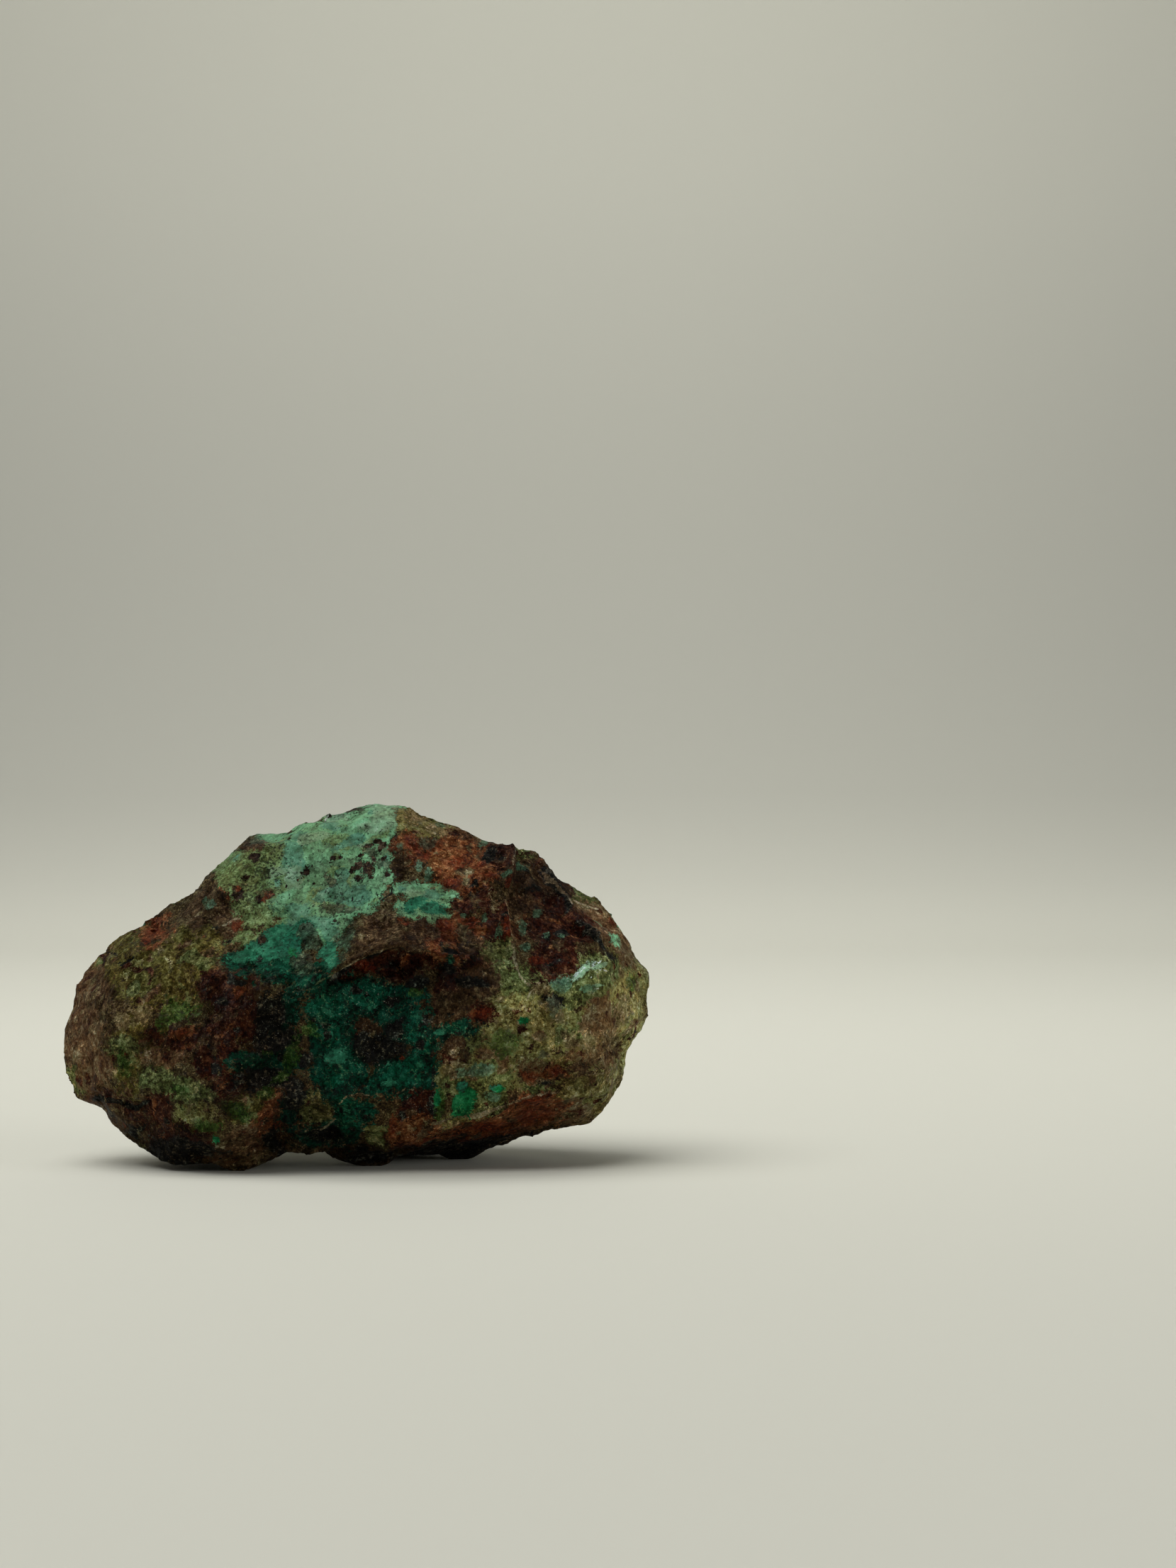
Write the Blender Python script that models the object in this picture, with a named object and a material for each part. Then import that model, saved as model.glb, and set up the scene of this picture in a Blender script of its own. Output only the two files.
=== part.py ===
"""A lump of rough turquoise in its brown and olive host rock, at its real size: one solid stone.

The stone's form is a set of LANDMARKS, places in millimetres on its ridges, ledges, hollows and feet. The
script joins them into facets, splits the facets finely, wears their edges, knocks chips off, roughens what
is left and flattens the feet where the stone stands.

Axes: +X runs along the stone's length, the front faces -Y, +Z is up. The origin is on the ground below the
middle of the stone.
"""

import random

import bmesh
import bpy
from mathutils import Vector, noise

MM = 0.001

# ---- driving dimensions, in millimetres --------------------------------------------------------------
LENGTH = 83.5
HEIGHT = 51.0
DEPTH = 41.0
# Every landmark is in plain sight of this point inside the stone, so rays from it cross the skin only once.
HEART = Vector((0.0, 3.0, 23.0))

# ---- the outer edge as seen from the front, clockwise ------------------------------------------------
LEFT_END = (
    (-32.8, -3, 4.6), (-37, -1, 8), (-40.5, 0, 9.3), (-41.6, 1, 12), (-42.2, 2, 15), (-42.2, 3, 18.5),
    (-40.8, 4, 21.5), (-40.6, 5, 25), (-39.4, 6, 27), (-38, 6, 29), (-36.8, 6, 30.8),
)
LEFT_SLOPE = (
    (-33.5, 6, 32.5), (-31.2, 5, 34.2), (-27.4, 5, 36.2), (-24.2, 6, 37.5), (-23.4, 6, 39.3), (-20.8, 7, 41.6),
    (-18, 7, 44), (-16, 6, 46.5),
)
CREST = (
    (-10.5, 5, 46.5), (-6, 5, 48.5), (-4.5, 6, 50.3), (0, 6, 50.7), (4.5, 6, 50.7), (7.5, 4, 51),
    (9.2, 4, 50.6), (11, 4, 49), (14.5, 5, 46.7), (17, 5, 44.6), (18.5, 3, 45.5), (22, 1, 45.5),
)
RIGHT_SLOPE = (
    (22.5, 5, 44), (25.5, 7, 44), (26.5, 8, 42), (29.5, 10, 40), (32.5, 11, 38), (34, 11, 37.5),
    (36, 10, 35.7), (38, 9, 33), (40, 8, 28.5),
)
RIGHT_END = (
    (42.4, 7, 25.5), (42.4, 6, 22), (40.6, 6, 18.5), (39.2, 5, 17), (38.8, 4, 13.5), (37.4, 4, 11),
    (36.2, 4, 7.4), (33.2, 3, 5.3), (29, 3, 4.4), (24.5, 3, 3.4), (21, 3, 2.4),
)
# ---- the upper front, from the crest down to the waist where the front turns under -------------------
BROW = ((-15, 1, 44.5), (-10, 0, 45.5), (-5, 1, 48), (0.5, 0, 48.5), (6, -1, 48), (9, 0, 47.5))
SCOOP = (
    (-12, -2, 41), (-6, -2, 43), (1, -2.5, 44), (-6.5, -5.5, 37), (0.5, -6, 38), (4.5, -6, 40.5),
    (-9.5, -9, 32), (-4, -9.5, 32.5), (-1.5, -11, 32), (-6.5, -12.5, 28.5),
)
WAIST = ((-17.5, -8.5, 30), (-16, -12, 28), (-11.5, -14, 26.5), (-7.5, -15, 25.5), (-5, -15.5, 26))
SHOULDER = (
    (6.5, -3.5, 44.5), (12, -1.5, 44.5), (18, -0.5, 43.5), (9, -6, 40), (15, -4.5, 41), (15, -8.5, 36),
    (19, -6, 37.5), (19, -10.5, 31.5), (16, -10.5, 33),
)
# ---- a slab that stands proud of the front: its top edge, face, sharp lower lip and the hollow under it 
SLAB_TOP = ((1, -9.5, 35), (5, -9.5, 36), (8, -10, 35.5), (12, -10.5, 35))
SLAB_FACE = ((2.5, -13, 33), (6, -12.5, 34), (10.5, -12.5, 33))
SLAB_LIP = (
    (-2.5, -16, 27.5), (-0.5, -16.5, 29), (2, -16.5, 30), (5, -16, 31.5), (7, -15.5, 32),
    (9, -15, 31), (11.5, -14.5, 30.5), (15, -13.5, 30),
)
SLAB_HOLLOW = (
    (-1.5, -15, 26), (0.5, -13.5, 27.5), (3.5, -13, 29), (6.5, -12.5, 29.5), (10.5, -12.5, 28.5),
    (14.5, -13, 28),
)
# ---- a thin spur down the right shoulder, the step beside it, and the flank beyond -------------------
SPUR = (
    (22.5, -2, 43), (22, -4.5, 40.5), (21, -7, 37.5), (22, -9, 34), (22.5, -10.5, 31),
    (23, -11.5, 27.5), (25, -12, 26),
)
SPUR_STEP = ((24, 2.5, 42), (23.5, -0.5, 39.5), (23.2, -3.2, 36.5), (23.5, -5.8, 33.5), (24, -8, 30.5))
FLANK = ((24.5, 4, 41.5), (26.5, -0.5, 37), (27, -4, 33.5), (26.5, -8, 29.5), (29, -6.5, 30.5))
FLANK_RIDGE = ((27.5, 5, 40.5), (30, 2.5, 37.5), (31.5, 1, 35), (34, -1, 32.5), (35, -3, 30.5))
FLANK_BEHIND = ((29.5, 6, 37.5), (33, 4.5, 34.5), (36.5, 4, 32))
# ---- the blocky right end and the ledge across it ----------------------------------------------------
RIGHT_BLOCK = (
    (30, -8.5, 26.8), (33, -6.5, 28.2), (36.5, -3, 28.2), (38.5, 3.5, 29), (39.2, 1.5, 24), (38.5, 1.5, 19),
    (36, -4, 24.3), (36, -4.5, 19.2), (36.5, -1, 14.8), (28, -10, 23.8), (32, -8, 19.8), (28, -10, 17.2),
    (22, -11.5, 22.8), (21, -11.5, 17.2), (33, -7.5, 15.2),
)
RIGHT_LEDGE = ((30, -9, 13.6), (34, -6.5, 13.6), (36.5, -2, 13.2), (30.5, -8, 12.6))
# ---- the lower front: belly, the hem along its lower right, and what turns under it ------------------
BELLY = (
    (-3.5, -14.5, 21.5), (3, -14, 23), (9.5, -13, 24), (15.5, -13, 23), (19, -12.5, 25), (-1, -14, 16.5),
    (5.5, -13.5, 17.5), (12.5, -13.5, 18.5), (15.5, -12, 12.2), (9.5, -12, 10.8), (5, -12.5, 11),
)
HEM = (
    (5, -8, 3.4), (9.5, -9.5, 5.2), (14.5, -10, 6.6), (19.5, -10, 8.1), (23.5, -9.5, 10), (28, -8.5, 10.5),
    (32, -6.5, 10.6), (35, -3, 10.7),
)
HEM_UNDER = ((9, -4, 2.3), (15, -3, 3.6), (21, -2, 4.6), (26.5, -3.5, 6.6), (31, -2.5, 7.6))
KNOB = ((0, -14, 11), (3, -14, 11.5), (-2, -10.5, 6.5), (1.5, -11, 6), (4, -9.5, 5.5))
VALLEY = (
    (-10.5, -12.5, 21), (-7, -13, 17.5), (-10.5, -12, 14.5), (-7, -11, 9.5), (-9, -9.5, 5.5),
    (-5.5, -9.5, 5.5),
)
# ---- the left of the front ---------------------------------------------------------------------------
LEFT_LOBE = (
    (-15.5, -14, 21.5), (-16.5, -14.5, 15.5), (-12.5, -15, 11), (-9.5, -13.5, 8.5), (-14.5, -15, 7),
    (-10.5, -12, 4.5), (-18.5, -15, 10), (-20, -13, 5), (-16, -11, 2.5),
)
LEFT_FACE = (
    (-21, -4.5, 34.5), (-25.5, -4, 32.5), (-30.5, -3.5, 30.5), (-21, -9, 28.5), (-27, -8, 26.5),
    (-33, -5.5, 25.5), (-21.5, -12, 22), (-28.5, -10, 21), (-34, -7, 20), (-23.5, -13, 16.5),
    (-29, -11, 14.5), (-34, -7.5, 14), (-24, -13.5, 11.5), (-28, -11.5, 11),
)
LEFT_EDGE = ((-37.5, -0.5, 24), (-38, -1.5, 19.5), (-38.5, -2.5, 14.5), (-37, -4, 10.5))
LEFT_KEEL = ((-33, -7, 9.5), (-28.5, -9.5, 8.5), (-24.5, -12, 6.5), (-29, -7, 4.5), (-24.5, -10, 3))
# ---- where it stands. Points below the ground are cut off flat there and become the stone's feet -----
FRONT_FEET = (
    (-30.5, -4, 3.5), (-28.5, -6, 1.5), (-25, -8, 0.5), (-19, -8, 1), (-16, -8, -1), (-13, -8, 1.5),
    (-9.5, -7, 2), (-5.5, -6, 2), (-4, -5, 3), (-1.5, -4, 1.5), (0.5, -2.5, -1), (3.5, -2, -0.5),
    (6, -1, 1), (14.5, 6, -1), (11, 4, 0.5),
)
REAR_FEET = ((-19, 6, -1.5), (6, 12, -1.5), (-17, -1, 1), (10, 8, 1))
ARCH = ((-8, 0, 3.2), (-3, 4, 4), (-12, 4, 3.5), (4, 5, 1.5), (-6, 10, 8))
# ---- the rear ----------------------------------------------------------------------------------------
REAR_EDGE = (
    (-35, 11, 14), (-35.5, 12, 23), (-28, 12.5, 32), (-17, 13, 40.5), (-6, 12, 46.5), (6, 12, 47.5),
    (18, 14, 43), (28, 17, 36), (36, 15, 26), (36.5, 12, 15), (27, 12, 6.5), (16, 16, 3.5), (-7, 16, 11),
    (-22, 10, 3.5), (-29, 8, 6),
)
REAR_SLOPE = ((-13, 19, 37), (-2, 17.5, 42), (3, 20, 39.5), (11, 19, 40), (16, 22, 35), (-22, 17, 33))
REAR_LEDGE = (
    (-27, 16.5, 26.5), (-19, 20.5, 29.5), (-11, 23, 32), (-3, 24, 33), (5, 25, 32), (13, 25, 30),
    (22, 23, 29),
)
REAR_HOLLOW = ((-25, 15.5, 23.5), (-18, 18, 26.5), (-10.5, 20, 28.5), (-2, 21.5, 29.5), (5.5, 23, 28.5))
REAR_BELLY = (
    (-28, 14, 18), (-19, 18.5, 19), (-9, 23, 21), (2, 24.5, 21.5), (12, 24.5, 23.5), (22, 22.5, 22),
    (30, 18, 23), (31, 16.5, 14.5), (24, 20, 12.5), (14, 22.5, 12), (4, 22, 10), (-6, 21, 14),
    (-16, 17.5, 10), (-25, 14, 10.5), (9, 19, 6), (-13, 14, 10.5),
)
LANDMARKS = (
    LEFT_END + LEFT_SLOPE + CREST + RIGHT_SLOPE + RIGHT_END + BROW + SCOOP + WAIST + SHOULDER
    + SLAB_TOP + SLAB_FACE + SLAB_LIP + SLAB_HOLLOW + SPUR + SPUR_STEP + FLANK + FLANK_RIDGE + FLANK_BEHIND
    + RIGHT_BLOCK + RIGHT_LEDGE + BELLY + HEM + HEM_UNDER + KNOB + VALLEY + LEFT_LOBE + LEFT_FACE
    + LEFT_EDGE + LEFT_KEEL + FRONT_FEET + REAR_FEET + ARCH + REAR_EDGE + REAR_SLOPE + REAR_LEDGE
    + REAR_HOLLOW + REAR_BELLY
)

# ---- surface -----------------------------------------------------------------------------------------
SPLITS = 3
WEAR_PASSES = 1
WEAR = 0.5                                   # how far a pass moves a corner towards its neighbours' middle
CHIPS = 90
CHIP_RADIUS = (2.5, 6.0)
CHIP_BITE = (0.05, 0.35)
CHIP_LIMIT = 0.7
CHIP_TILT = 0.3
CHIP_RIM = 0.25                              # the share of a chip's radius over which its cut fades in
LUMP_SIZE, LUMP_HEIGHT, LUMP_OCTAVES = 8.0, 0.3, 4
RIDGE_SIZE, RIDGE_HEIGHT, RIDGE_OCTAVES = 4.0, 0.15, 3
RIDGE_OFFSET, RIDGE_GAIN = 1.0, 2.0
ROUGH_FALL, ROUGH_STEP = 1.0, 2.1            # how each finer octave falls in height, and steps down in size
TRIANGLE_SHARE = 0.27
SEED = 11
STONE_COLOUR = (0.12, 0.16, 0.10, 1.0)
STONE_ROUGHNESS = 0.8


def facets(points):
    """Joins points into triangles: the hull of their directions from the heart, in proportion."""
    half = Vector((LENGTH, DEPTH, HEIGHT)) / 2
    sphere = bmesh.new()
    for point in points:
        away = Vector(point) - HEART
        sphere.verts.new(Vector(a / h for a, h in zip(away, half)).normalized())
    sphere.verts.index_update()
    bmesh.ops.convex_hull(sphere, input=sphere.verts)
    triangles = [[v.index for v in face.verts] for face in sphere.faces]
    sphere.free()
    return triangles


def faceted_stone():
    stone = bmesh.new()
    corners = [stone.verts.new(point) for point in LANDMARKS]
    for triangle in facets(LANDMARKS):
        stone.faces.new([corners[i] for i in triangle])
    bmesh.ops.recalc_face_normals(stone, faces=stone.faces)
    for _ in range(SPLITS):
        bmesh.ops.subdivide_edges(stone, edges=stone.edges, cuts=1, use_grid_fill=True)
    return stone


def wear_edges(stone):
    for _ in range(WEAR_PASSES):
        bmesh.ops.smooth_vert(
            stone, verts=stone.verts, factor=WEAR, use_axis_x=True, use_axis_y=True, use_axis_z=True
        )


def knock_chips(stone, dice):
    """Cuts small flats: what stands above a chip's tilted plane, within its radius, drops onto the plane."""
    verts = list(stone.verts)
    half = Vector((LENGTH, DEPTH, HEIGHT)) / 2
    for _ in range(CHIPS):
        stone.normal_update()
        outward = Vector(dice.gauss(0, 1) for _ in range(3)).normalized()
        target = HEART + outward * half
        middle = min(verts, key=lambda vert: (vert.co - target).length_squared)
        tilt = Vector(dice.uniform(-1, 1) for _ in range(3)) * CHIP_TILT
        normal = (middle.normal + tilt).normalized()
        radius = dice.uniform(*CHIP_RADIUS)
        level = middle.co - normal * dice.uniform(*CHIP_BITE)
        centre = middle.co.copy()
        for vert in verts:
            reach = 1 - (vert.co - centre).length / radius
            if reach > 0:
                above = (vert.co - level).dot(normal)
                vert.co -= normal * min(max(0.0, above), CHIP_LIMIT) * min(1.0, reach / CHIP_RIM)


def roughen(stone):
    stone.normal_update()
    for vert in stone.verts:
        lump = noise.fractal(vert.co / LUMP_SIZE, ROUGH_FALL, ROUGH_STEP, LUMP_OCTAVES)
        ridge = noise.ridged_multi_fractal(
            vert.co / RIDGE_SIZE, ROUGH_FALL, ROUGH_STEP, RIDGE_OCTAVES, RIDGE_OFFSET, RIDGE_GAIN
        )
        vert.co += vert.normal * (lump * LUMP_HEIGHT + (ridge - 1) * RIDGE_HEIGHT)


def thinned(shape):
    """The same skin with fewer triangles: the decimate modifier drops those that change it least."""
    mesh = bpy.data.meshes.new("fine_skin")
    shape.to_mesh(mesh)
    shape.free()
    fine = bpy.data.objects.new("fine_skin", mesh)
    bpy.context.scene.collection.objects.link(fine)
    fine.modifiers.new("thin", "DECIMATE").ratio = TRIANGLE_SHARE
    evaluated = fine.evaluated_get(bpy.context.evaluated_depsgraph_get())
    stone = bmesh.new()
    stone.from_mesh(evaluated.to_mesh())
    bpy.data.objects.remove(fine)
    return stone


def flatten_feet(stone):
    for vert in stone.verts:
        vert.co.z = max(vert.co.z, 0.0)


def centre_on_origin(stone):
    for axis in (0, 1):
        places = [vert.co[axis] for vert in stone.verts]
        middle = (min(places) + max(places)) / 2
        for vert in stone.verts:
            vert.co[axis] -= middle


def stone_material():
    material = bpy.data.materials.new("stone")
    material.use_nodes = True
    shader = material.node_tree.nodes["Principled BSDF"]
    shader.inputs["Base Color"].default_value = STONE_COLOUR
    shader.inputs["Roughness"].default_value = STONE_ROUGHNESS
    return material


def main():
    for thing in list(bpy.data.objects):
        bpy.data.objects.remove(thing)
    skin = faceted_stone()
    wear_edges(skin)
    knock_chips(skin, random.Random(SEED))
    roughen(skin)
    stone = thinned(skin)
    flatten_feet(stone)
    centre_on_origin(stone)
    bmesh.ops.scale(stone, vec=(MM, MM, MM), verts=stone.verts)
    mesh = bpy.data.meshes.new("turquoise_stone")
    stone.to_mesh(mesh)
    stone.free()
    mesh.materials.append(stone_material())
    bpy.context.scene.collection.objects.link(bpy.data.objects.new("turquoise_stone", mesh))


main()
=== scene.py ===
"""Rough turquoise: fine skin, mottled mineral colours, painted shade and highlights, a pale floor and soft
light.
"""

import math

import bmesh
import bpy
import numpy as np
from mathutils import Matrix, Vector, noise


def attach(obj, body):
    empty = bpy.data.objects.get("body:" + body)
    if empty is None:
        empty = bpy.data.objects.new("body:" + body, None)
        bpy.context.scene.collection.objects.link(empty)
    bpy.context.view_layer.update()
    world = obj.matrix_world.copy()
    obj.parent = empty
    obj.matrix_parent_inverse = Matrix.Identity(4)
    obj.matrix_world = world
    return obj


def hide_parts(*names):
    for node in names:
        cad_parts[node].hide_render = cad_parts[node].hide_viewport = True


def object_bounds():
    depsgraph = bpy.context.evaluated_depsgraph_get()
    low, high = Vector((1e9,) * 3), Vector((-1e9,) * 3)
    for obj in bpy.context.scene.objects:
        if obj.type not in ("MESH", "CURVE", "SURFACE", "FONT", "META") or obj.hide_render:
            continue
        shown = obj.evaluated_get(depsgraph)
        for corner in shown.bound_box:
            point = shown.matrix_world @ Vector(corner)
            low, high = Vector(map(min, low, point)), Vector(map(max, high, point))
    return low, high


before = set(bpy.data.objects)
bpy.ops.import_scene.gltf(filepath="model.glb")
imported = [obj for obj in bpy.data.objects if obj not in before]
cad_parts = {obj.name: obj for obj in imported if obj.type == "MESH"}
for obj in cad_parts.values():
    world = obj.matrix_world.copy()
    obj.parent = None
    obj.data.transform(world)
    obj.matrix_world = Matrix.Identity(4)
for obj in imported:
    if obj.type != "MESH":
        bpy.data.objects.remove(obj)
cad_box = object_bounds()

MM = 0.001

# mathutils' noise vectors start from the time of day unless they are seeded.
NOISE_SEED = 42
noise.seed_set(NOISE_SEED)

# ---- the photograph's camera ---------------------------------
PHOTO_HEIGHT = 2212
PIXEL = 0.1 * MM                 # what a pixel spans in the plane through the stone's upper edge
EDGE_PLANE_Y = -4.4 * MM
CAMERA_DISTANCE = 430 * MM
CAMERA_X, CAMERA_HEIGHT = 32.97 * MM, 53.6 * MM
CAMERA_PLACE = Vector((CAMERA_X, EDGE_PLANE_Y - CAMERA_DISTANCE, CAMERA_HEIGHT))
SENSOR = 36.0
LENS = SENSOR * CAMERA_DISTANCE / (PHOTO_HEIGHT * PIXEL)
CLIP_START = 0.01


def make_camera():
    data = bpy.data.cameras.new("camera")
    data.sensor_width = SENSOR
    data.lens = LENS
    data.clip_start = CLIP_START
    camera = bpy.data.objects.new("camera", data)
    camera.location = CAMERA_PLACE
    camera.rotation_euler = (math.pi / 2, 0, 0)
    bpy.context.scene.collection.objects.link(camera)
    bpy.context.scene.camera = camera


make_camera()

# ---- the stone's skin ----------------------------------------
WELD_DISTANCE = 0.001 * MM
VOXEL = 0.395 * MM
SMOOTH_STEPS = 2
SMOOTH_FACTOR = 0.5
FOOT_FADE = (0.25 * MM, 1.2 * MM)      # the relief fades out between these heights, so the feet stay flat
# (size of a feature, how far it stands out or cuts in), in mm
FACETS = ((6.5, 0.26), (3, 0.17), (1.4, 0.11))    # broken faces that meet in sharp ridges
CRUMBLE = ((2.2, 0.06), (0.9, 0.06))     # crumbly grain with sharp furrows
FACET_TILT = 0.55
FACET_CUP = 0.3                        # how far a broken face rises towards its edges
FACET_BEND, FACET_BEND_SCALE = 0.3, 0.7    # the faces are a little bent
TILT_SCALE, TILT_CORNER = 3.7, Vector((5.1, 1.3, 8.9))    # where their tilts lie in the noise
SINK = 0.12                            # mm: the relief cuts in more than it stands out
# How much a coat smooths the stone (0 not at all), where its field passes these values, and what is left.
SMOOTH_COATS = {"mint": 0.7, "rose": 0.4, "pale": 0.5}
SMOOTH_COAT_EDGE = (-0.5, 1.0)
LEAST_ROUGHNESS = 0.4

# Ridges (height above 0) and furrows (below 0) on the front: half-width, height, then points (across, up),
# in mm.
LINES = (
    # the thin lip of the slab, and the hollow under it
    (0.45, 0.4, (-5, 25.8), (-1.5, 27.9), (1.2, 29.2), (4, 30.5), (6.2, 31.1), (8.2, 30), (11, 29.6),
     (14.5, 29.2)),
    (0.9, -0.9, (-3.6, 25.3), (-1, 26.9), (1.6, 28.1), (4.4, 29.3), (6.4, 29.7), (8.4, 28.7), (11.2, 28.2)),
    # the thin spur that runs down the right flank
    (0.45, 0.55, (22.5, 45.2), (21.9, 40.2), (21.2, 37.2), (21.9, 33.7), (22.3, 30.2), (22.8, 27),
     (24.8, 25.2)),
    (0.8, -0.45, (23.4, 43), (23, 39), (22.6, 36), (23.2, 32), (23.6, 29)),
    (0.8, -0.35, (20.6, 43), (20.4, 38), (20, 34)),
    # the second ridge
    (0.5, 0.45, (26.6, 42.8), (27.8, 40.6), (30, 37.4), (31, 35.4), (34, 32.4)),
    (0.9, -0.4, (26, 41), (28.6, 36.8), (32, 32.6)),
    # the ledge and the hem of the right end
    (0.5, 0.35, (28, 12.6), (30.5, 12.6), (33, 13.6), (36, 13)),
    (0.6, -0.5, (29, 13.8), (32, 14.4), (34.5, 14.2)),
    (0.5, 0.45, (4.5, 2.4), (9, 4.2), (14, 5.7), (19, 7), (23.5, 9.3), (28, 9.9), (35, 10.2)),
    # the knob at the foot
    (0.5, 0.35, (-2.2, 8.6), (-1, 9.7), (0.5, 10.1), (2, 9.9), (3, 8.8)),
    (0.7, -0.5, (-2.6, 2), (-2.6, 5), (-2.8, 8)),
    # the step in the turquoise above the waist, and other steps
    (0.5, 0.3, (-15, 28.6), (-11.5, 27.2), (-8, 26.2)),
    (0.6, 0.3, (0.2, 35.4), (4, 36.9), (7, 38.3)),
    (0.6, -0.45, (-18.2, 36.8), (-16.8, 35.8), (-15.5, 35)),
    (0.4, -0.3, (-35.5, 29.9), (-34, 29.7), (-33.5, 29.5)),
    (0.4, -0.3, (-31.4, 29.2), (-33, 28.2)),
    (0.6, -0.5, (-36, 10), (-33.5, 8.8), (-31, 8.2), (-29, 8.9)),
    (0.6, 0.4, (-34, 9.3), (-32, 10.3), (-30, 9.3)),
)
LINE_EDGE = (0.2, 1.6)                 # a line's full height and its foot, in half-widths from its middle
LINE_FRONT = 0.6                       # the lines stop where the surface turns away further than this


def fine_skin(node):
    """The solid's own surface, remeshed into small even quads and rounded a little."""
    mesh = node.data.copy()
    welded = bmesh.new()
    welded.from_mesh(mesh)
    bmesh.ops.remove_doubles(welded, verts=welded.verts, dist=WELD_DISTANCE)
    welded.to_mesh(mesh)
    welded.free()
    rough = bpy.data.objects.new("rough", mesh)
    bpy.context.scene.collection.objects.link(rough)
    remesh = rough.modifiers.new("remesh", "REMESH")
    remesh.mode = "VOXEL"
    remesh.voxel_size = VOXEL
    smooth = rough.modifiers.new("smooth", "SMOOTH")
    smooth.factor = SMOOTH_FACTOR
    smooth.iterations = SMOOTH_STEPS
    evaluated = rough.evaluated_get(bpy.context.evaluated_depsgraph_get())
    skin = bpy.data.meshes.new_from_object(evaluated)
    bpy.data.objects.remove(rough)
    skin.materials.clear()
    piece = bpy.data.objects.new("turquoise_skin", skin)
    bpy.context.scene.collection.objects.link(piece)
    return piece


def read(mesh, what):
    values = np.zeros(len(mesh.vertices) * 3)
    mesh.vertices.foreach_get(what, values)
    return values.reshape(-1, 3)


def sampled(function, places):
    return np.array([function(Vector(place)) for place in places])


def smooth_step(values, low, high):
    share = np.clip((values - low) / (high - low), 0, 1)
    return share * share * (3 - 2 * share)


def seen_from_front(places):
    """Across and up, in mm, where the camera's line to each place crosses the plane of the stone's edge."""
    reach = CAMERA_DISTANCE / (places[:, 1] - CAMERA_PLACE.y)
    across = CAMERA_PLACE.x + (places[:, 0] - CAMERA_PLACE.x) * reach
    up = CAMERA_PLACE.z + (places[:, 2] - CAMERA_PLACE.z) * reach
    return across / MM, up / MM


FACING_FADE = 0.25


def frontness(places, normals):
    """1 where the surface faces the camera, 0.5 a little past the outline, 0 where it faces well away."""
    to_camera = np.array(CAMERA_PLACE) - places
    to_camera /= np.linalg.norm(to_camera, axis=1)[:, None]
    facing = (normals * to_camera).sum(axis=1)
    return np.clip((facing + FACING_FADE) / FACING_FADE, 0, 1)


def to_line(across, up, points):
    """Each place's distance, in mm, from a line through the points."""
    nearest = np.full(len(across), np.inf)
    for (ax, az), (bx, bz) in zip(points, points[1:]):
        length = (bx - ax) ** 2 + (bz - az) ** 2
        share = np.clip(((across - ax) * (bx - ax) + (up - az) * (bz - az)) / length, 0, 1)
        away = np.hypot(across - ax - share * (bx - ax), up - az - share * (bz - az))
        nearest = np.minimum(nearest, away)
    return nearest


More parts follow.
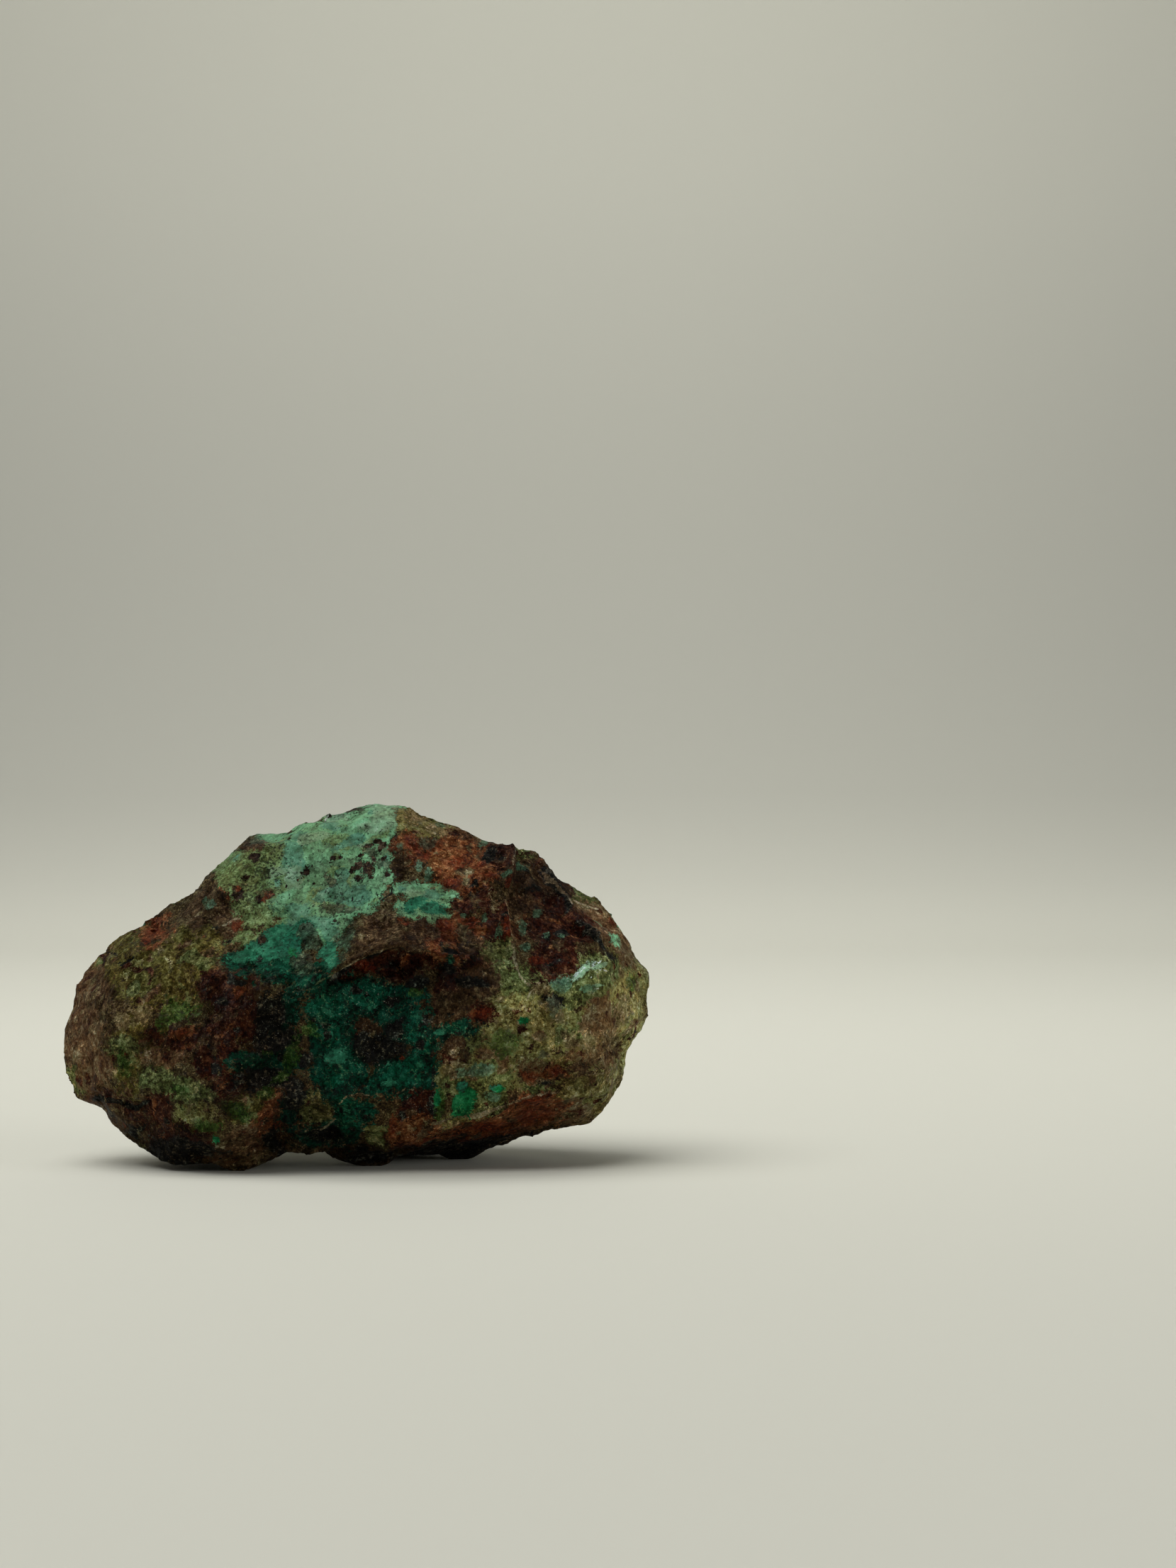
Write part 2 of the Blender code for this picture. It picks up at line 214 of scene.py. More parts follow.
# ---- the paint -----------------------------------------------
# Each coat lies over those above it in this list. A patch is (across, up, half-width, half-height) and, where
# it is turned, its turn in degrees, in mm on the stone's front; a streak is a half-width and then its points.
COATS = {
    "khaki": (
        (-28.5, 27.2, 8.5, 4.2, 12), (-23, 29.7, 4, 4.5), (-33, 31.2, 3.4, 1.8, 38),
        (-21.5, 32.2, 3.2, 2.2, 30), (-31, 19.2, 2.8, 2.8), (-27, 24.2, 6, 2.8), (-32.5, 14.2, 2.6, 3),
        (-32.5, 10.2, 2.2, 2), (-20, 25.2, 1.6, 3), (-34.5, 27.5, 3, 3.2, 20), (-21.5, 5.6, 3.2, 1.2),
        (-15.5, 7.5, 3, 2.6), (-28.5, 16, 1.2, 1.6),
    ),
    "straw": (
        (21.5, 16.7, 4, 4.8), (23, 23.2, 3.2, 3), (27, 18.2, 5, 4.2), (34, 18.2, 5, 4.6),
        (38, 22.2, 3.6, 6.4), (39.8, 24.2, 2.4, 5), (33, 9, 5.6, 3.6, 15), (37.5, 13.8, 2.8, 3.8),
        (20, 13.2, 4, 3.4), (28, 13.2, 4, 2), (8.8, 49.2, 3.4, 3.2), (11.5, 47.6, 3, 1.4, -30),
        (-23, 7, 2.8, 1.5), (14, 13.2, 2.2, 1.8), (14.5, 6.4, 3.6, 0.8, 12), (38.5, 29.2, 2.6, 3.4),
        (25.5, 22, 3, 2),
    ),
    "sage": (
        (32, 24.7, 5, 2.6, 10), (35, 27.7, 3.6, 2), (27.5, 25.7, 2.4, 1.6), (23, 25.7, 2.4, 1.9),
        (32.3, 38, 3.8, 1.8, -28), (24, 44.8, 2.2, 1, -10), (20, 30.2, 2.4, 2.2), (20.5, 27, 2, 1.6),
        (19, 11.2, 3.2, 3.4), (15, 11.7, 2.5, 2.2), (19, 8.2, 2.8, 1.8), (26, 10.7, 2.6, 0.9, 5),
        (12, 11.2, 2, 2), (16.5, 17.2, 2, 1.6), (-27.5, 11.7, 2.4, 1.8, -20), (-23.5, 10.2, 3, 2, -15),
        (-32.5, 16.4, 2.4, 2.2), (-39.8, 12.2, 2, 2.4), (3.5, 3.8, 1.6, 1.4), (-5.5, 8.2, 2, 2.6),
        (-29.6, 2.2, 1.1, 1.4),
    ),
    "rose": (
        (-38.8, 19.2, 3, 6.4, 8), (-37.4, 25.7, 2.2, 3.4, 18), (-37.2, 13.4, 2.6, 3.2),
        (-35, 8.2, 3.2, 2.2, -30), (-26.5, 15, 2.8, 1.5), (-20, 15.2, 2, 2), (36, 34, 4.8, 2.4, -42),
        (38.2, 31.2, 1.6, 2.8, 25), (32.5, 35.7, 2.4, 1.2, -40), (35, 20.2, 3, 3), (34, 15.2, 3.4, 1.5),
        (26, 12.7, 2.8, 1.8), (16.5, 27.7, 2.4, 2.2), (10, 32.4, 2.8, 2), (23, 32.7, 1, 2.4),
        (15.5, 45.9, 3.4, 1.8, -25), (19, 37.7, 1.1, 2.6), (-17, 2.2, 3.8, 2.4), (-15, 4.2, 3, 1.6),
        (31, 7.2, 3, 2),
    ),
    "maroon": (
        (-18, 24.9, 4, 3), (-17.5, 20.2, 4.2, 3.4), (-19, 15.2, 3.2, 2.6), (-25.5, 18, 4.2, 1.6, 8),
        (-27.5, 7.2, 1.9, 3, 25), (-32, 6.6, 5.2, 2, -35), (-24.5, 2.7, 5.4, 3), (-18, 11.2, 2.8, 1.6),
        (6, 28, 6.4, 1.9, 6), (0, 27.2, 3, 1.1, 28), (15, 23.2, 4.2, 3.6), (14, 29.7, 4, 2.6),
        (18, 21.2, 1.9, 1.5), (9, 8.2, 3, 3.2), (13.5, 15.7, 2.2, 1.5), (26.5, 39.7, 5, 3.6, -45),
        (29, 33.2, 5.2, 2.8, -10), (28, 29.2, 4.2, 3.2), (20.2, 43.4, 3.2, 2.4), (17, 39.7, 1.7, 0.8),
        (14.5, 37, 2.4, 1.8, -30), (18, 38.2, 1.6, 1.8), (20, 34.2, 3, 2.6), (-17, 31.7, 1.8, 1.1),
        (1, 18.7, 2, 1.8), (8.5, 3.8, 3.6, 1.8, 5),
    ),
    "rust": (
        (-17, 38.6, 1.6, 1.6), (-17, 33.9, 1.4, 1.3), (-12.4, 37.8, 1.4, 1.1), (15, 42.7, 4.8, 3.2, -12),
        (8, 44.2, 3, 2.6), (14, 39.7, 3.2, 2), (19, 41, 1.8, 1.1), (-28.5, 33.2, 2.6, 1.6, 35),
        (-29.5, 31.7, 0.9, 0.9), (12.5, 30.7, 3.2, 2.2), (14, 33.2, 3.8, 1.6), (-11.5, 6.7, 2.2, 3.4, -5),
        (9, 4.7, 3.8, 1.8, 5), (18.5, 4.7, 6.4, 1.8, 10), (25.5, 7.4, 4.8, 2.6, 12), (28, 12.7, 1.8, 0.9),
        (25.6, 12.3, 2.4, 0.9), (-24, 18.6, 2, 0.8, 15), (23.5, 35.5, 1.6, 2),
    ),
    "mint": (
        (-2.5, 43.9, 8.6, 4.6, 6), (-3.5, 40.7, 7.4, 4.8), (0.5, 50.2, 7, 4), (4, 48, 2.6, 3.2),
        (-4.5, 36.9, 6.6, 3.4), (1.2, 37.7, 3.4, 3.4), (0.5, 41.7, 3.6, 3), (4, 40.6, 2, 1.8),
        (-7, 34, 4, 1.8), (-3.2, 33.2, 2, 2.8, -10), (10, 38.7, 4.4, 1.3, -4), (9.5, 35.9, 3.6, 2, -8),
        (-11.5, 46.2, 3, 1.6), (-7, 47, 2.4, 1.8), (-10, 41, 2.6, 4.6), (-17, 43.4, 1.4, 1),
    ),
    "pistachio": (
        (-14, 40.4, 4.2, 5), (-17.4, 41.7, 2.6, 3), (-14.5, 35.6, 3.8, 2), (-15.2, 31.7, 2.6, 1.2),
        (-2, 45.4, 2.4, 1), (-5, 37.7, 1.5, 1.3), (-2.5, 40.2, 2, 2), (-11.5, 43.5, 2.2, 2.4),
    ),
    "aqua": (
        (0.5, 37.7, 1.9, 2.3), (-3.2, 47.7, 1.6, 0.7), (-8.5, 42.7, 1.5, 3), (-7.5, 35.9, 1.6, 1.1),
        (-6.5, 34.2, 3, 1), (11, 38, 1.3, 1), (-7.5, 46.2, 1.2, 1), (-3.4, 32.6, 1.4, 2, -10),
    ),
    # pale mint, partly painted highlight on the crest and beside the glints of the right end
    "pale": (
        (-3, 49.4, 2.4, 1.2), (4.5, 49.4, 2.2, 2), (3, 47.7, 2.8, 0.8), (8.5, 38.4, 1.4, 0.6),
        (32.4, 27.3, 1.8, 0.5, 42), (34.6, 27.9, 1.2, 0.4, 20), (34.4, 25.2, 0.9, 0.3, 10),
        (-8.5, 40.2, 1.2, 1.6),
    ),
    "teal": (
        (-10, 27.2, 6.2, 2.2, -8), (-6, 25.7, 4, 2), (-2, 23.7, 5.6, 3), (6, 21.2, 5.6, 4.2),
        (-2.5, 17.2, 4.4, 4.8), (-2, 12.2, 3.6, 4), (6.5, 12.7, 5.6, 3.2, 15), (9.5, 12.6, 2.6, 2.4),
        (10, 18.2, 3.4, 3), (-12, 14.2, 4.8, 1.9), (-10, 21.2, 3, 3.4), (-1, 6.7, 3, 4),
        (-9, 6.7, 1.5, 3.2), (-5, 3.7, 3, 1.8), (14, 19.2, 3.4, 1.4), (2, 24.6, 4.6, 1.4),
    ),
    "jade": (
        (1.5, 23.9, 3.4, 1.8, -10), (-4, 22.2, 2.2, 2), (9.8, 20.9, 2, 1.5), (-2, 14.4, 2.4, 2.6),
        (-3.5, 18.2, 1.6, 2.2), (6, 12.4, 2.8, 1.7, 20), (9, 13.9, 2.2, 1.2, 10), (7.5, 18.4, 2, 1.2),
        (-1, 7.2, 1.2, 2.6), (-2.5, 12.2, 1.6, 1.4), (13.6, 28.6, 0.6, 1.7), (-16.3, 28.7, 1.9, 0.9, -5),
        (-14.5, 14.4, 1.8, 1.2), (14.5, 19.2, 1.6, 0.8), (10.5, 16.2, 1.3, 1.4), (-10.5, 28, 3.4, 1.4, -6),
        (-4.6, 28, 1.4, 1),
    ),
    "viridian": (
        (-8.7, 29.9, 1.1, 1.5), (-11.5, 29.9, 3.6, 1.5, -8), (-15.3, 29, 2.4, 0.9, -8),
        (-10, 32.3, 3.6, 2.2), (-7.6, 33.4, 2, 1.6), (-3.6, 30.2, 1.6, 1.8, -15), (8.4, 36.9, 1.5, 0.9, 20),
        (11.2, 35.7, 1.8, 0.9, -10), (5.5, 11.4, 1.2, 0.9, 10), (-2.5, 15.2, 1.4, 1), (12, 18.6, 0.8, 0.6),
        (10, 21.1, 1.2, 0.8), (20.2, 10.8, 1, 0.6), (15.4, 11, 0.9, 0.8),
    ),
    "umber": (
        (3.2, 32.4, 3.8, 2.4, 30), (0.2, 29.8, 3, 1, 32), (9, 32.6, 2.8, 2), (-12, 23.7, 1.9, 1.3),
        (26, 40.9, 3.2, 2.4, -40), (23.7, 37, 1.7, 2.8), (-15, 45.5, 2.4, 1.4), (-21.3, 35.9, 3.6, 2.3, 42),
        (-18.5, 34.7, 1.6, 2.6), (16.5, 31.7, 2.2, 1.8), (19, 25.4, 2, 2.6), (2, 18.7, 2.4, 1.5, -35),
        (14, 16.4, 2, 1.3), (-33, 5.7, 4.2, 1.6, -35), (-17, 2.4, 3.2, 2), (13.5, 22.4, 3.4, 1.6),
        (31.5, 13.6, 2.4, 0.5, 12), (36, 16.6, 1.8, 1.4), (-35.4, 24.4, 1.6, 2.6, 15),
        (6.5, 42.4, 1.1, 2.4, 5), (7, 30.6, 3, 0.8), (12, 20.8, 1.4, 1.2),
    ),
    # black rock, and painted shade in the dark hollow left of the middle and along the stone's lower edge
    "ink": (
        (-13.2, 18.2, 0.9, 3), (-11.5, 21.4, 2.6, 2.4), (-10.5, 17.8, 2.4, 1.9), (-12.5, 11.7, 4.4, 1.3),
        (-8.5, 10.4, 1.7, 2.3), (3.4, 16.2, 3.8, 1.9, -6), (5.3, 23, 1.8, 0.8), (9, 25.7, 1.6, 1),
        (-4.6, 4, 2.6, 1), (-11.5, 2.6, 1.3, 2), (-25, 1.8, 5.8, 2.2), (16, 0.8, 5, 1.5),
        (1.5, 1.2, 3, 1.2), (14.5, 1.9, 9, 1.3, 7), (11.2, 7.7, 0.6, 0.8), (-7, 14.4, 1.1, 1.1),
        (27.3, 11.2, 0.9, 0.4), (27.8, 23.4, 1.4, 1), (16.5, 25.6, 2.4, 0.8), (36.5, 29.5, 0.9, 0.6),
        (13.4, 27.2, 1.2, 1.2), (5.8, 18.8, 1.6, 0.9),
    ),
    "ash": (
        (-6.5, 31.7, 1.7, 2.1), (-7, 28.2, 1.3, 1.4), (-1, 32.2, 0.9, 2.2, -25), (28.2, 22, 0.9, 1.6),
        (27, 15.3, 0.9, 0.5), (10.5, 45.2, 1.2, 0.9), (2.2, 44.2, 1.2, 0.8), (-3.5, 40, 1.2, 0.6, -40),
        (-3, 36.4, 1.4, 0.6), (0, 35.8, 1.2, 0.4), (4.2, 42.4, 0.8, 0.9), (-14.6, 45.8, 1.6, 0.6),
        (-0.6, 50, 1.2, 0.4),
    ),
    "spots": (
        (-16.4, 38.2, 0.7, 0.8), (-15.2, 40.5, 0.7, 0.3, 20), (-14, 43.3, 0.9, 0.6), (-11.9, 38, 0.7, 0.5),
        (-13.3, 37.4, 0.6, 0.5), (-6.9, 41.2, 0.6, 0.8, -35), (4.5, 40.8, 0.6, 0.5, 20),
        (-6.2, 42, 0.3, 0.3), (-5.8, 39.5, 0.25, 0.3), (-3, 43.2, 0.5, 0.45), (-1.8, 43.3, 0.3, 0.3),
        (0.4, 42.1, 0.9, 0.6, 20), (1.9, 41.7, 0.8, 1, 40), (-0.5, 41.4, 0.3, 0.4), (2.4, 40.4, 0.4, 0.3),
        (0.5, 40.4, 0.6, 0.4), (2.8, 43, 0.35, 0.7, 30), (1.9, 44.9, 0.7, 0.3, 15), (0.9, 43.6, 0.4, 0.3),
        (3.6, 44.3, 0.3, 0.5), (3.2, 45.6, 0.6, 0.35), (4.2, 44.9, 0.5, 0.5), (-3.4, 42.6, 0.3, 0.2),
        (1.3, 38.8, 0.2, 0.2), (-3.6, 49.2, 0.3, 0.3), (4.2, 43.2, 0.6, 0.4, 20), (-0.3, 50, 1.2, 0.25),
        (-13.2, 31.7, 0.6, 0.8), (-5, 44.3, 0.3, 0.15), (-7.9, 40, 0.2, 0.2), (-15.5, 45.4, 0.8, 0.4),
        (-2.7, 34.4, 0.4, 0.25), (-9.6, 39.2, 0.2, 0.3), (-1.9, 37.8, 0.3, 0.2),
    ),
    "tan": (
        (-30.2, 21.4, 1.8, 1.2, -15), (-32.5, 20.2, 1.4, 1), (9, 49.2, 1.6, 1.2), (32, 17.2, 2.4, 1.2),
        (35.5, 17.4, 2, 1.2), (19.6, 37.4, 0.6, 1.6), (14, 13.7, 1.8, 1.2), (11, 47.2, 2, 0.6, -15),
        (26.8, 25, 1.2, 1), (-27.4, 30.2, 0.7, 0.6), (38.4, 21.6, 1, 2),
    ),
    "flecks": (
        (23.9, 42.2, 0.9, 0.7), (21.5, 41, 0.6, 0.4), (18.2, 45.2, 0.8, 0.6), (26, 35.7, 0.7, 0.6),
        (24, 33.4, 0.4, 1.2), (24.1, 30.9, 0.6, 0.6), (27.1, 32.4, 0.5, 0.6), (29.5, 32.2, 0.6, 0.4),
        (15.4, 35, 0.5, 0.4), (18.3, 34.8, 0.4, 0.6), (20.4, 33.2, 0.5, 1), (30, 25.8, 1.6, 1.1),
        (-20.3, 36.6, 0.7, 0.7), (9.1, 42, 0.6, 0.9), (6.6, 45, 0.5, 0.6), (12, 47.8, 0.8, 0.4, -20),
        (10.6, 40.8, 0.5, 0.9), (33, 24.7, 1.4, 0.6), (18, 13.4, 1.6, 1), (15.5, 13, 1, 0.7),
        (19.5, 9.6, 1.2, 0.8),
    ),
    # painted highlight on lit edges, drawn as streaks only
    "cream": (),
    "lime": (
        (-25, 21.9, 2.4, 1.5), (-26.9, 19.9, 0.9, 1.4), (-16.8, 7.6, 2.2, 1.5), (-20.8, 5.4, 2.2, 0.8),
        (-8.7, 15.4, 0.8, 3, -8), (-10.2, 12.2, 1.5, 0.7, 25), (-11.7, 15.7, 0.9, 0.4),
        (-6.2, 18.6, 1.2, 1.1), (-12.5, 9.9, 1.2, 0.6), (12.1, 8.2, 0.7, 2), (39.4, 25.8, 0.5, 1.2),
        (21.5, 16.8, 2, 1.8), (-32.6, 14.6, 1, 1.6), (8.6, 24.2, 0.9, 0.5), (-25, 10.6, 1.4, 0.9),
    ),
    "ember": (
        (-28.4, 33.2, 1.3, 0.9, 42), (-29.5, 31.8, 0.5, 0.6), (-17, 33.7, 0.8, 0.7), (7, 34.6, 0.9, 0.7),
        (12.6, 33.6, 1.3, 0.8), (16.4, 34.2, 0.9, 1.2), (9, 44.3, 0.6, 1.2, 15), (8, 45.4, 0.6, 0.8, 20),
        (10.3, 43.4, 0.7, 0.7), (15, 42.7, 1.4, 0.6), (19, 41, 1.2, 0.5), (17.8, 21, 1.3, 0.9),
        (1.6, 27.4, 1.1, 0.7), (5.4, 5, 0.6, 1.5), (6.8, 14.9, 0.4, 0.4), (28.4, 12.8, 0.9, 0.6),
        (24.8, 12.4, 1.2, 0.5), (25.5, 9, 1.8, 0.9, 10), (25, 7, 2.4, 1.2), (19, 5, 2.6, 0.7, 12),
        (21.6, 33, 0.6, 1.3), (21.7, 39.7, 0.4, 0.9), (26, 28.7, 1.4, 0.6), (14, 39.7, 1.2, 0.7),
    ),
    # painted glints: small white marks that stand in for sparkle on the right block
    "frost": (
        (35.6, 27.4, 0.35, 0.2, -40), (34.5, 24.8, 0.25, 0.15), (26.4, 23.5, 0.2, 0.15),
    ),
    "emerald": (
        (15.4, 8.3, 1.6, 1.6), (16.6, 9.6, 1, 1), (20.6, 10.7, 0.9, 0.5), (24, 20.2, 0.9, 0.6),
        (-19.6, 3.8, 0.6, 0.6), (11.8, 9.2, 0.5, 1.2), (-8.7, 29.9, 0.6, 0.8),
    ),
}
STREAKS = {
    # painted glints: white dashes on the right block, in the middle and on the crest
    "frost": (
        (0.07, (30.6, 26.4), (31.6, 27.1)), (0.09, (31.3, 26.5), (32.7, 27.7)),
        (0.08, (32, 27.7), (33.2, 28.7)), (0.09, (32.7, 27.1), (34.1, 28.6)),
        (0.08, (33.8, 27.7), (34.7, 28.7)), (0.06, (34.8, 28.1), (35.7, 28.2)),
        (0.07, (34.2, 26.9), (35.1, 27.6)), (0.06, (30.1, 25.8), (30.9, 26.2)),
        (0.06, (33.6, 26.3), (34.2, 26.9)), (0.07, (34, 24.7), (34.8, 24.9)),
        (0.08, (5.9, 24.7), (5.4, 23.6), (4.8, 22.4)), (0.08, (-5.5, 49.1), (-4.7, 50.2)),
        (0.08, (-5, 48.6), (-4.1, 49.9)), (0.08, (-4.4, 48.4), (-3.6, 49.4)),
    ),
    # painted shade: dark lines in the hollows under the ridges, the slab's lip and the ledges
    "ink": (
        (0.25, (-35.4, 30), (-34.2, 29.8), (-33.6, 29.6)),
        (0.25, (-31.4, 29.2), (-32.2, 28.6), (-33, 28.2)),
        (0.45, (-3.4, 25.4), (-1, 27), (1.8, 28.4), (4.2, 29.7), (6.2, 30.2), (8.2, 29.2)),
        (0.1, (-0.3, 39.4), (-0.4, 38), (-0.1, 37), (0.2, 35.8)),
        (0.1, (3, 38.2), (4, 37), (5.2, 38), (5.7, 40.2)),
        (0.3, (-36.5, 9), (-33.5, 8.6), (-31, 7.8), (-29.5, 8.6)),
        (0.5, (26.5, 41.7), (28.4, 39.4), (30, 37.7), (30.3, 36.2)),
        (0.5, (33, 33.2), (34.2, 31.8), (35, 30.7)),
    ),
    # painted highlight: thin pale lines along the lit edges of the slab's lip, the spur, the ridges, the knob
    # and the ledges
    "cream": (
        (0.13, (-5.4, 25.2), (-4, 26.2), (-1.5, 27.6), (0.6, 28.9), (2.4, 29.4), (3.8, 30.3)),
        (0.13, (-18.6, 33.7), (-17.5, 34.4), (-16.4, 34.8)), (0.12, (-17.6, 32.9), (-16.6, 32.5)),
        (0.13, (22.5, 45), (22.6, 43.4), (22.2, 42)),
        (0.16, (21.3, 37.4), (21.6, 35.7), (22, 33.7), (22.2, 31), (22.5, 28.6), (23.4, 26.4), (24.8, 25.2)),
        (0.14, (26.2, 42), (27.5, 40.2), (29, 38.7), (30.2, 37.7), (30.6, 36.6)),
        (0.14, (30.4, 37.7), (32.4, 36.8), (34.4, 36.2)),
        (0.12, (-2.2, 8.6), (-1, 9.7), (0.5, 10.1), (2, 9.9)), (0.12, (-7, 4.6), (-5, 4.8), (-3, 5.7)),
        (0.12, (6, 9.8), (7.4, 10.6), (8.6, 10.2)), (0.12, (13, 14.8), (15, 14), (16.4, 14.2)),
        (0.14, (30, 12.2), (32.2, 12.4), (34.2, 12.8), (36.4, 13.4)),
        (0.16, (11, 5.7), (14, 6.6), (18, 7), (22, 8.7), (24.5, 9.7), (29, 10.2)),
        (0.11, (24, 21.7), (24.6, 23.6), (25.6, 24.6)), (0.12, (18.6, 37), (18.9, 38.6), (19.4, 39.4)),
    ),
}
# Where the turquoise is peppered with dark pits, as patches.
PEPPER = (
    (-12.5, 41.5, 3, 4.5), (-15.5, 38, 3.5, 2.5), (-3, 40.4, 1.6, 0.8), (2.2, 44.2, 1.4, 1.2),
    (-3.5, 38, 1.6, 1.4), (-2.8, 35.8, 1.8, 1.6), (-7, 33.6, 1.4, 0.8), (1.2, 41.8, 1.4, 1.2),
    (-11, 44.8, 2, 1.2), (-1, 49.8, 2.4, 0.7), (4, 37.5, 1.4, 0.8),
)
# Where painted glints are thick, as patches: pale specks that stand in for the crystal grains' sparkle.
GLINTS = (
    (-2, 22, 12, 4.5), (-13.5, 20, 4, 6), (3, 17, 6, 5), (-7, 30, 2, 4), (32.5, 27.4, 4, 2.6, 35),
    (-12, 11, 4, 3), (13, 18, 4, 3), (28, 22, 2, 2), (-5, 7, 3, 5), (9, 7, 4, 4), (-20, 21, 3, 5),
)
# Boulders of colour on the sides that the front doesn't show: (across, depth, up, radius), in mm.
BOULDERS = {
    "mint": ((-4, 6, 47, 9), (-14, 8, 38, 7), (6, 14, 36, 7), (-22, 12, 18, 6), (24, 16, 22, 6)),
    "teal": ((-8, 19, 26, 9), (12, 18, 14, 7), (-30, 10, 10, 6), (0, 4, 0, 9)),
    "rust": ((14, 10, 42, 8), (30, 8, 30, 6), (-34, 4, 26, 6), (4, 20, 40, 6)),
    "straw": ((40, 5, 23, 8), (37, 2, 13, 6)),
    "rose": ((-41, 1, 15, 9), (-36, 2, 7, 7)),
    "khaki": ((-30, 8, 28, 9), (30, 14, 16, 8), (20, 18, 32, 8), (-18, 18, 12, 8)),
    "maroon": ((22, 6, 40, 7), (-2, 20, 14, 8), (30, 12, 8, 8), (-24, 10, 4, 9)),
    "sage": ((38, 4, 30, 6), (-36, 8, 18, 7), (10, 20, 24, 7)),
}
# How widely a coat drifts over those sides (0 nowhere, 1 everywhere) and the size of a drift, in mm.
DRIFTS = {
    "khaki": (0.42, 11), "sage": (0.28, 8), "umber": (0.34, 9), "maroon": (0.34, 9), "rust": (0.3, 8),
    "mint": (0.26, 11), "teal": (0.26, 9), "jade": (0.2, 7), "tan": (0.22, 5), "lime": (0.12, 6),
    "flecks": (0.16, 4), "spots": (0.18, 4), "ember": (0.14, 4),
}
# Soft washes over the coats, which are painted shade and painted light: a tint, then patches whose edges fade
# over a few mm.
WASHES = {
    # painted shade: a dark teal where the turquoise turns downward at the waist
    "deep": ((0.42, 0.78, 0.72), (
        (-10, 26.6, 6.5, 2.2, -8), (-5, 25, 3, 1.6), (-1.2, 31, 1, 3, -25), (-9, 31.5, 4, 2),
    )),
    # painted shade: darkening in the lower middle, in hollows, under ledges and along the stone's lower edge
    "dim": ((0.52, 0.42, 0.38), (
        (10.5, 32.4, 4, 2.2), (-5.5, 8.2, 2.2, 3), (-21, 17.4, 3.4, 2.2), (-25, 2.8, 4.6, 2.2),
        (-11, 6.6, 2.4, 3.4), (26.8, 39.2, 4, 3.6, -40), (-25, 2, 5.5, 2.4), (-12, 17, 4, 5),
        (8.5, 27.6, 5, 1.4, 5), (15, 25, 5, 2.6), (14, 2.4, 9, 1.6, 7), (20.2, 43.6, 2.6, 1.8),
        (3.2, 15.8, 3.4, 1.4), (-2, 2.6, 5, 1.6), (16, 29.2, 4, 2.6), (-10, 7, 3, 5),
        (-25.5, 17.6, 4.5, 1.4, 8), (-19, 9, 4, 2.6), (-18, 23.6, 3.6, 3), (-13.4, 14, 3, 6),
        (-11, 4, 3, 3), (31.5, 12.4, 3.4, 1.4), (1.8, 19, 2.6, 1.8),
    )),
    # painted light: the right end, which faces the light, made paler, and a few lit spots elsewhere
    "bright": ((1.5, 1.5, 1.5), (
        (33, 24.5, 6, 4.5), (37.5, 21, 4, 7), (34, 17, 5, 4), (-30.3, 21.3, 2.2, 1.5),
        (35.8, 34, 4, 2, -40), (-39.5, 14.6, 1.8, 5), (23, 24, 3, 3), (19.5, 12, 3, 2.4),
        (14.5, 43, 4, 2.6), (4, 40.6, 1.6, 2),
    )),
    # painted light: the right end's rim and block, lit from the side
    "glow": ((1.35, 1.4, 1.5), (
        (23, 23.8, 2.8, 2.6), (36, 34, 4.4, 2, -40), (39.4, 24, 2.6, 5), (32.5, 27, 3.5, 1.8, 35),
    )),
}
# Islands of one coat in another: (coat, the coat it lies in, how much of it they cover, their size in mm).
ISLANDS = (
    ("sage", "khaki", 0.06, 3.4), ("rose", "khaki", 0.08, 2.6), ("maroon", "khaki", 0.03, 1.6),
    ("straw", "khaki", 0.1, 2), ("sage", "straw", 0.12, 3.4), ("rose", "straw", 0.14, 2.6),
    ("tan", "straw", 0.16, 2), ("maroon", "straw", 0.02, 1.6), ("maroon", "sage", 0.03, 1.8),
    ("maroon", "rose", 0.08, 2), ("tan", "rose", 0.1, 1.8), ("rust", "maroon", 0.09, 2),
    ("umber", "maroon", 0.14, 2.4), ("ink", "maroon", 0.12, 2), ("umber", "rust", 0.17, 2.2),
    ("ember", "rust", 0.14, 1.6), ("maroon", "rust", 0.2, 1.6), ("tan", "rust", 0.06, 1.4),
    ("ink", "umber", 0.06, 1.8), ("tan", "umber", 0.1, 1.5), ("pistachio", "mint", 0.08, 3),
    ("aqua", "mint", 0.24, 3.4), ("pale", "mint", 0.08, 3), ("sage", "pistachio", 0.1, 2),
    ("jade", "teal", 0.26, 2.4), ("ink", "teal", 0.14, 2.2), ("viridian", "jade", 0.12, 1.6),
)
ISLAND_SLOPE = 2.4        # how fast an island's field rises from its shore, against its size
ISLAND_RIM = 0.5          # mm: an island keeps this far inside the coat it lies in
BOULDER_SLOPE = 0.5       # the same rise for a boulder, against its radius, and for a drift
DRIFT_SLOPE = 0.8
MINGLE = 0.7              # mm: how far neighbouring coats run into each other
MINGLE_SIZE = 2.4
FIELD_LIMIT = 3.0         # mm: a coat's field runs from -FIELD_LIMIT far outside to +FIELD_LIMIT well inside
SIDE_SLOPE = 12           # mm that a field loses for each unit of frontness beyond the half
SMALLEST = 1.3            # mm: a patch smaller than this still reaches this value at its middle
WARP_SIZES = (5.0, 1.75)  # mm: the wide and the fine warp
FINE_WARP = 0.5           # the fine warp's share
WARP_REACH = 1.5          # mm: the most a patch's edge is pushed, and the share of its smaller half-width
WARP_SHARE = 0.5
STREAK_WARP = 0.25
WASH_EDGE = 1.6           # mm
PEPPER_RANGE = (-1.0, FIELD_LIMIT)      # mm: the limits of these two fields
GLINT_RANGE = (-1.0, 1.5)


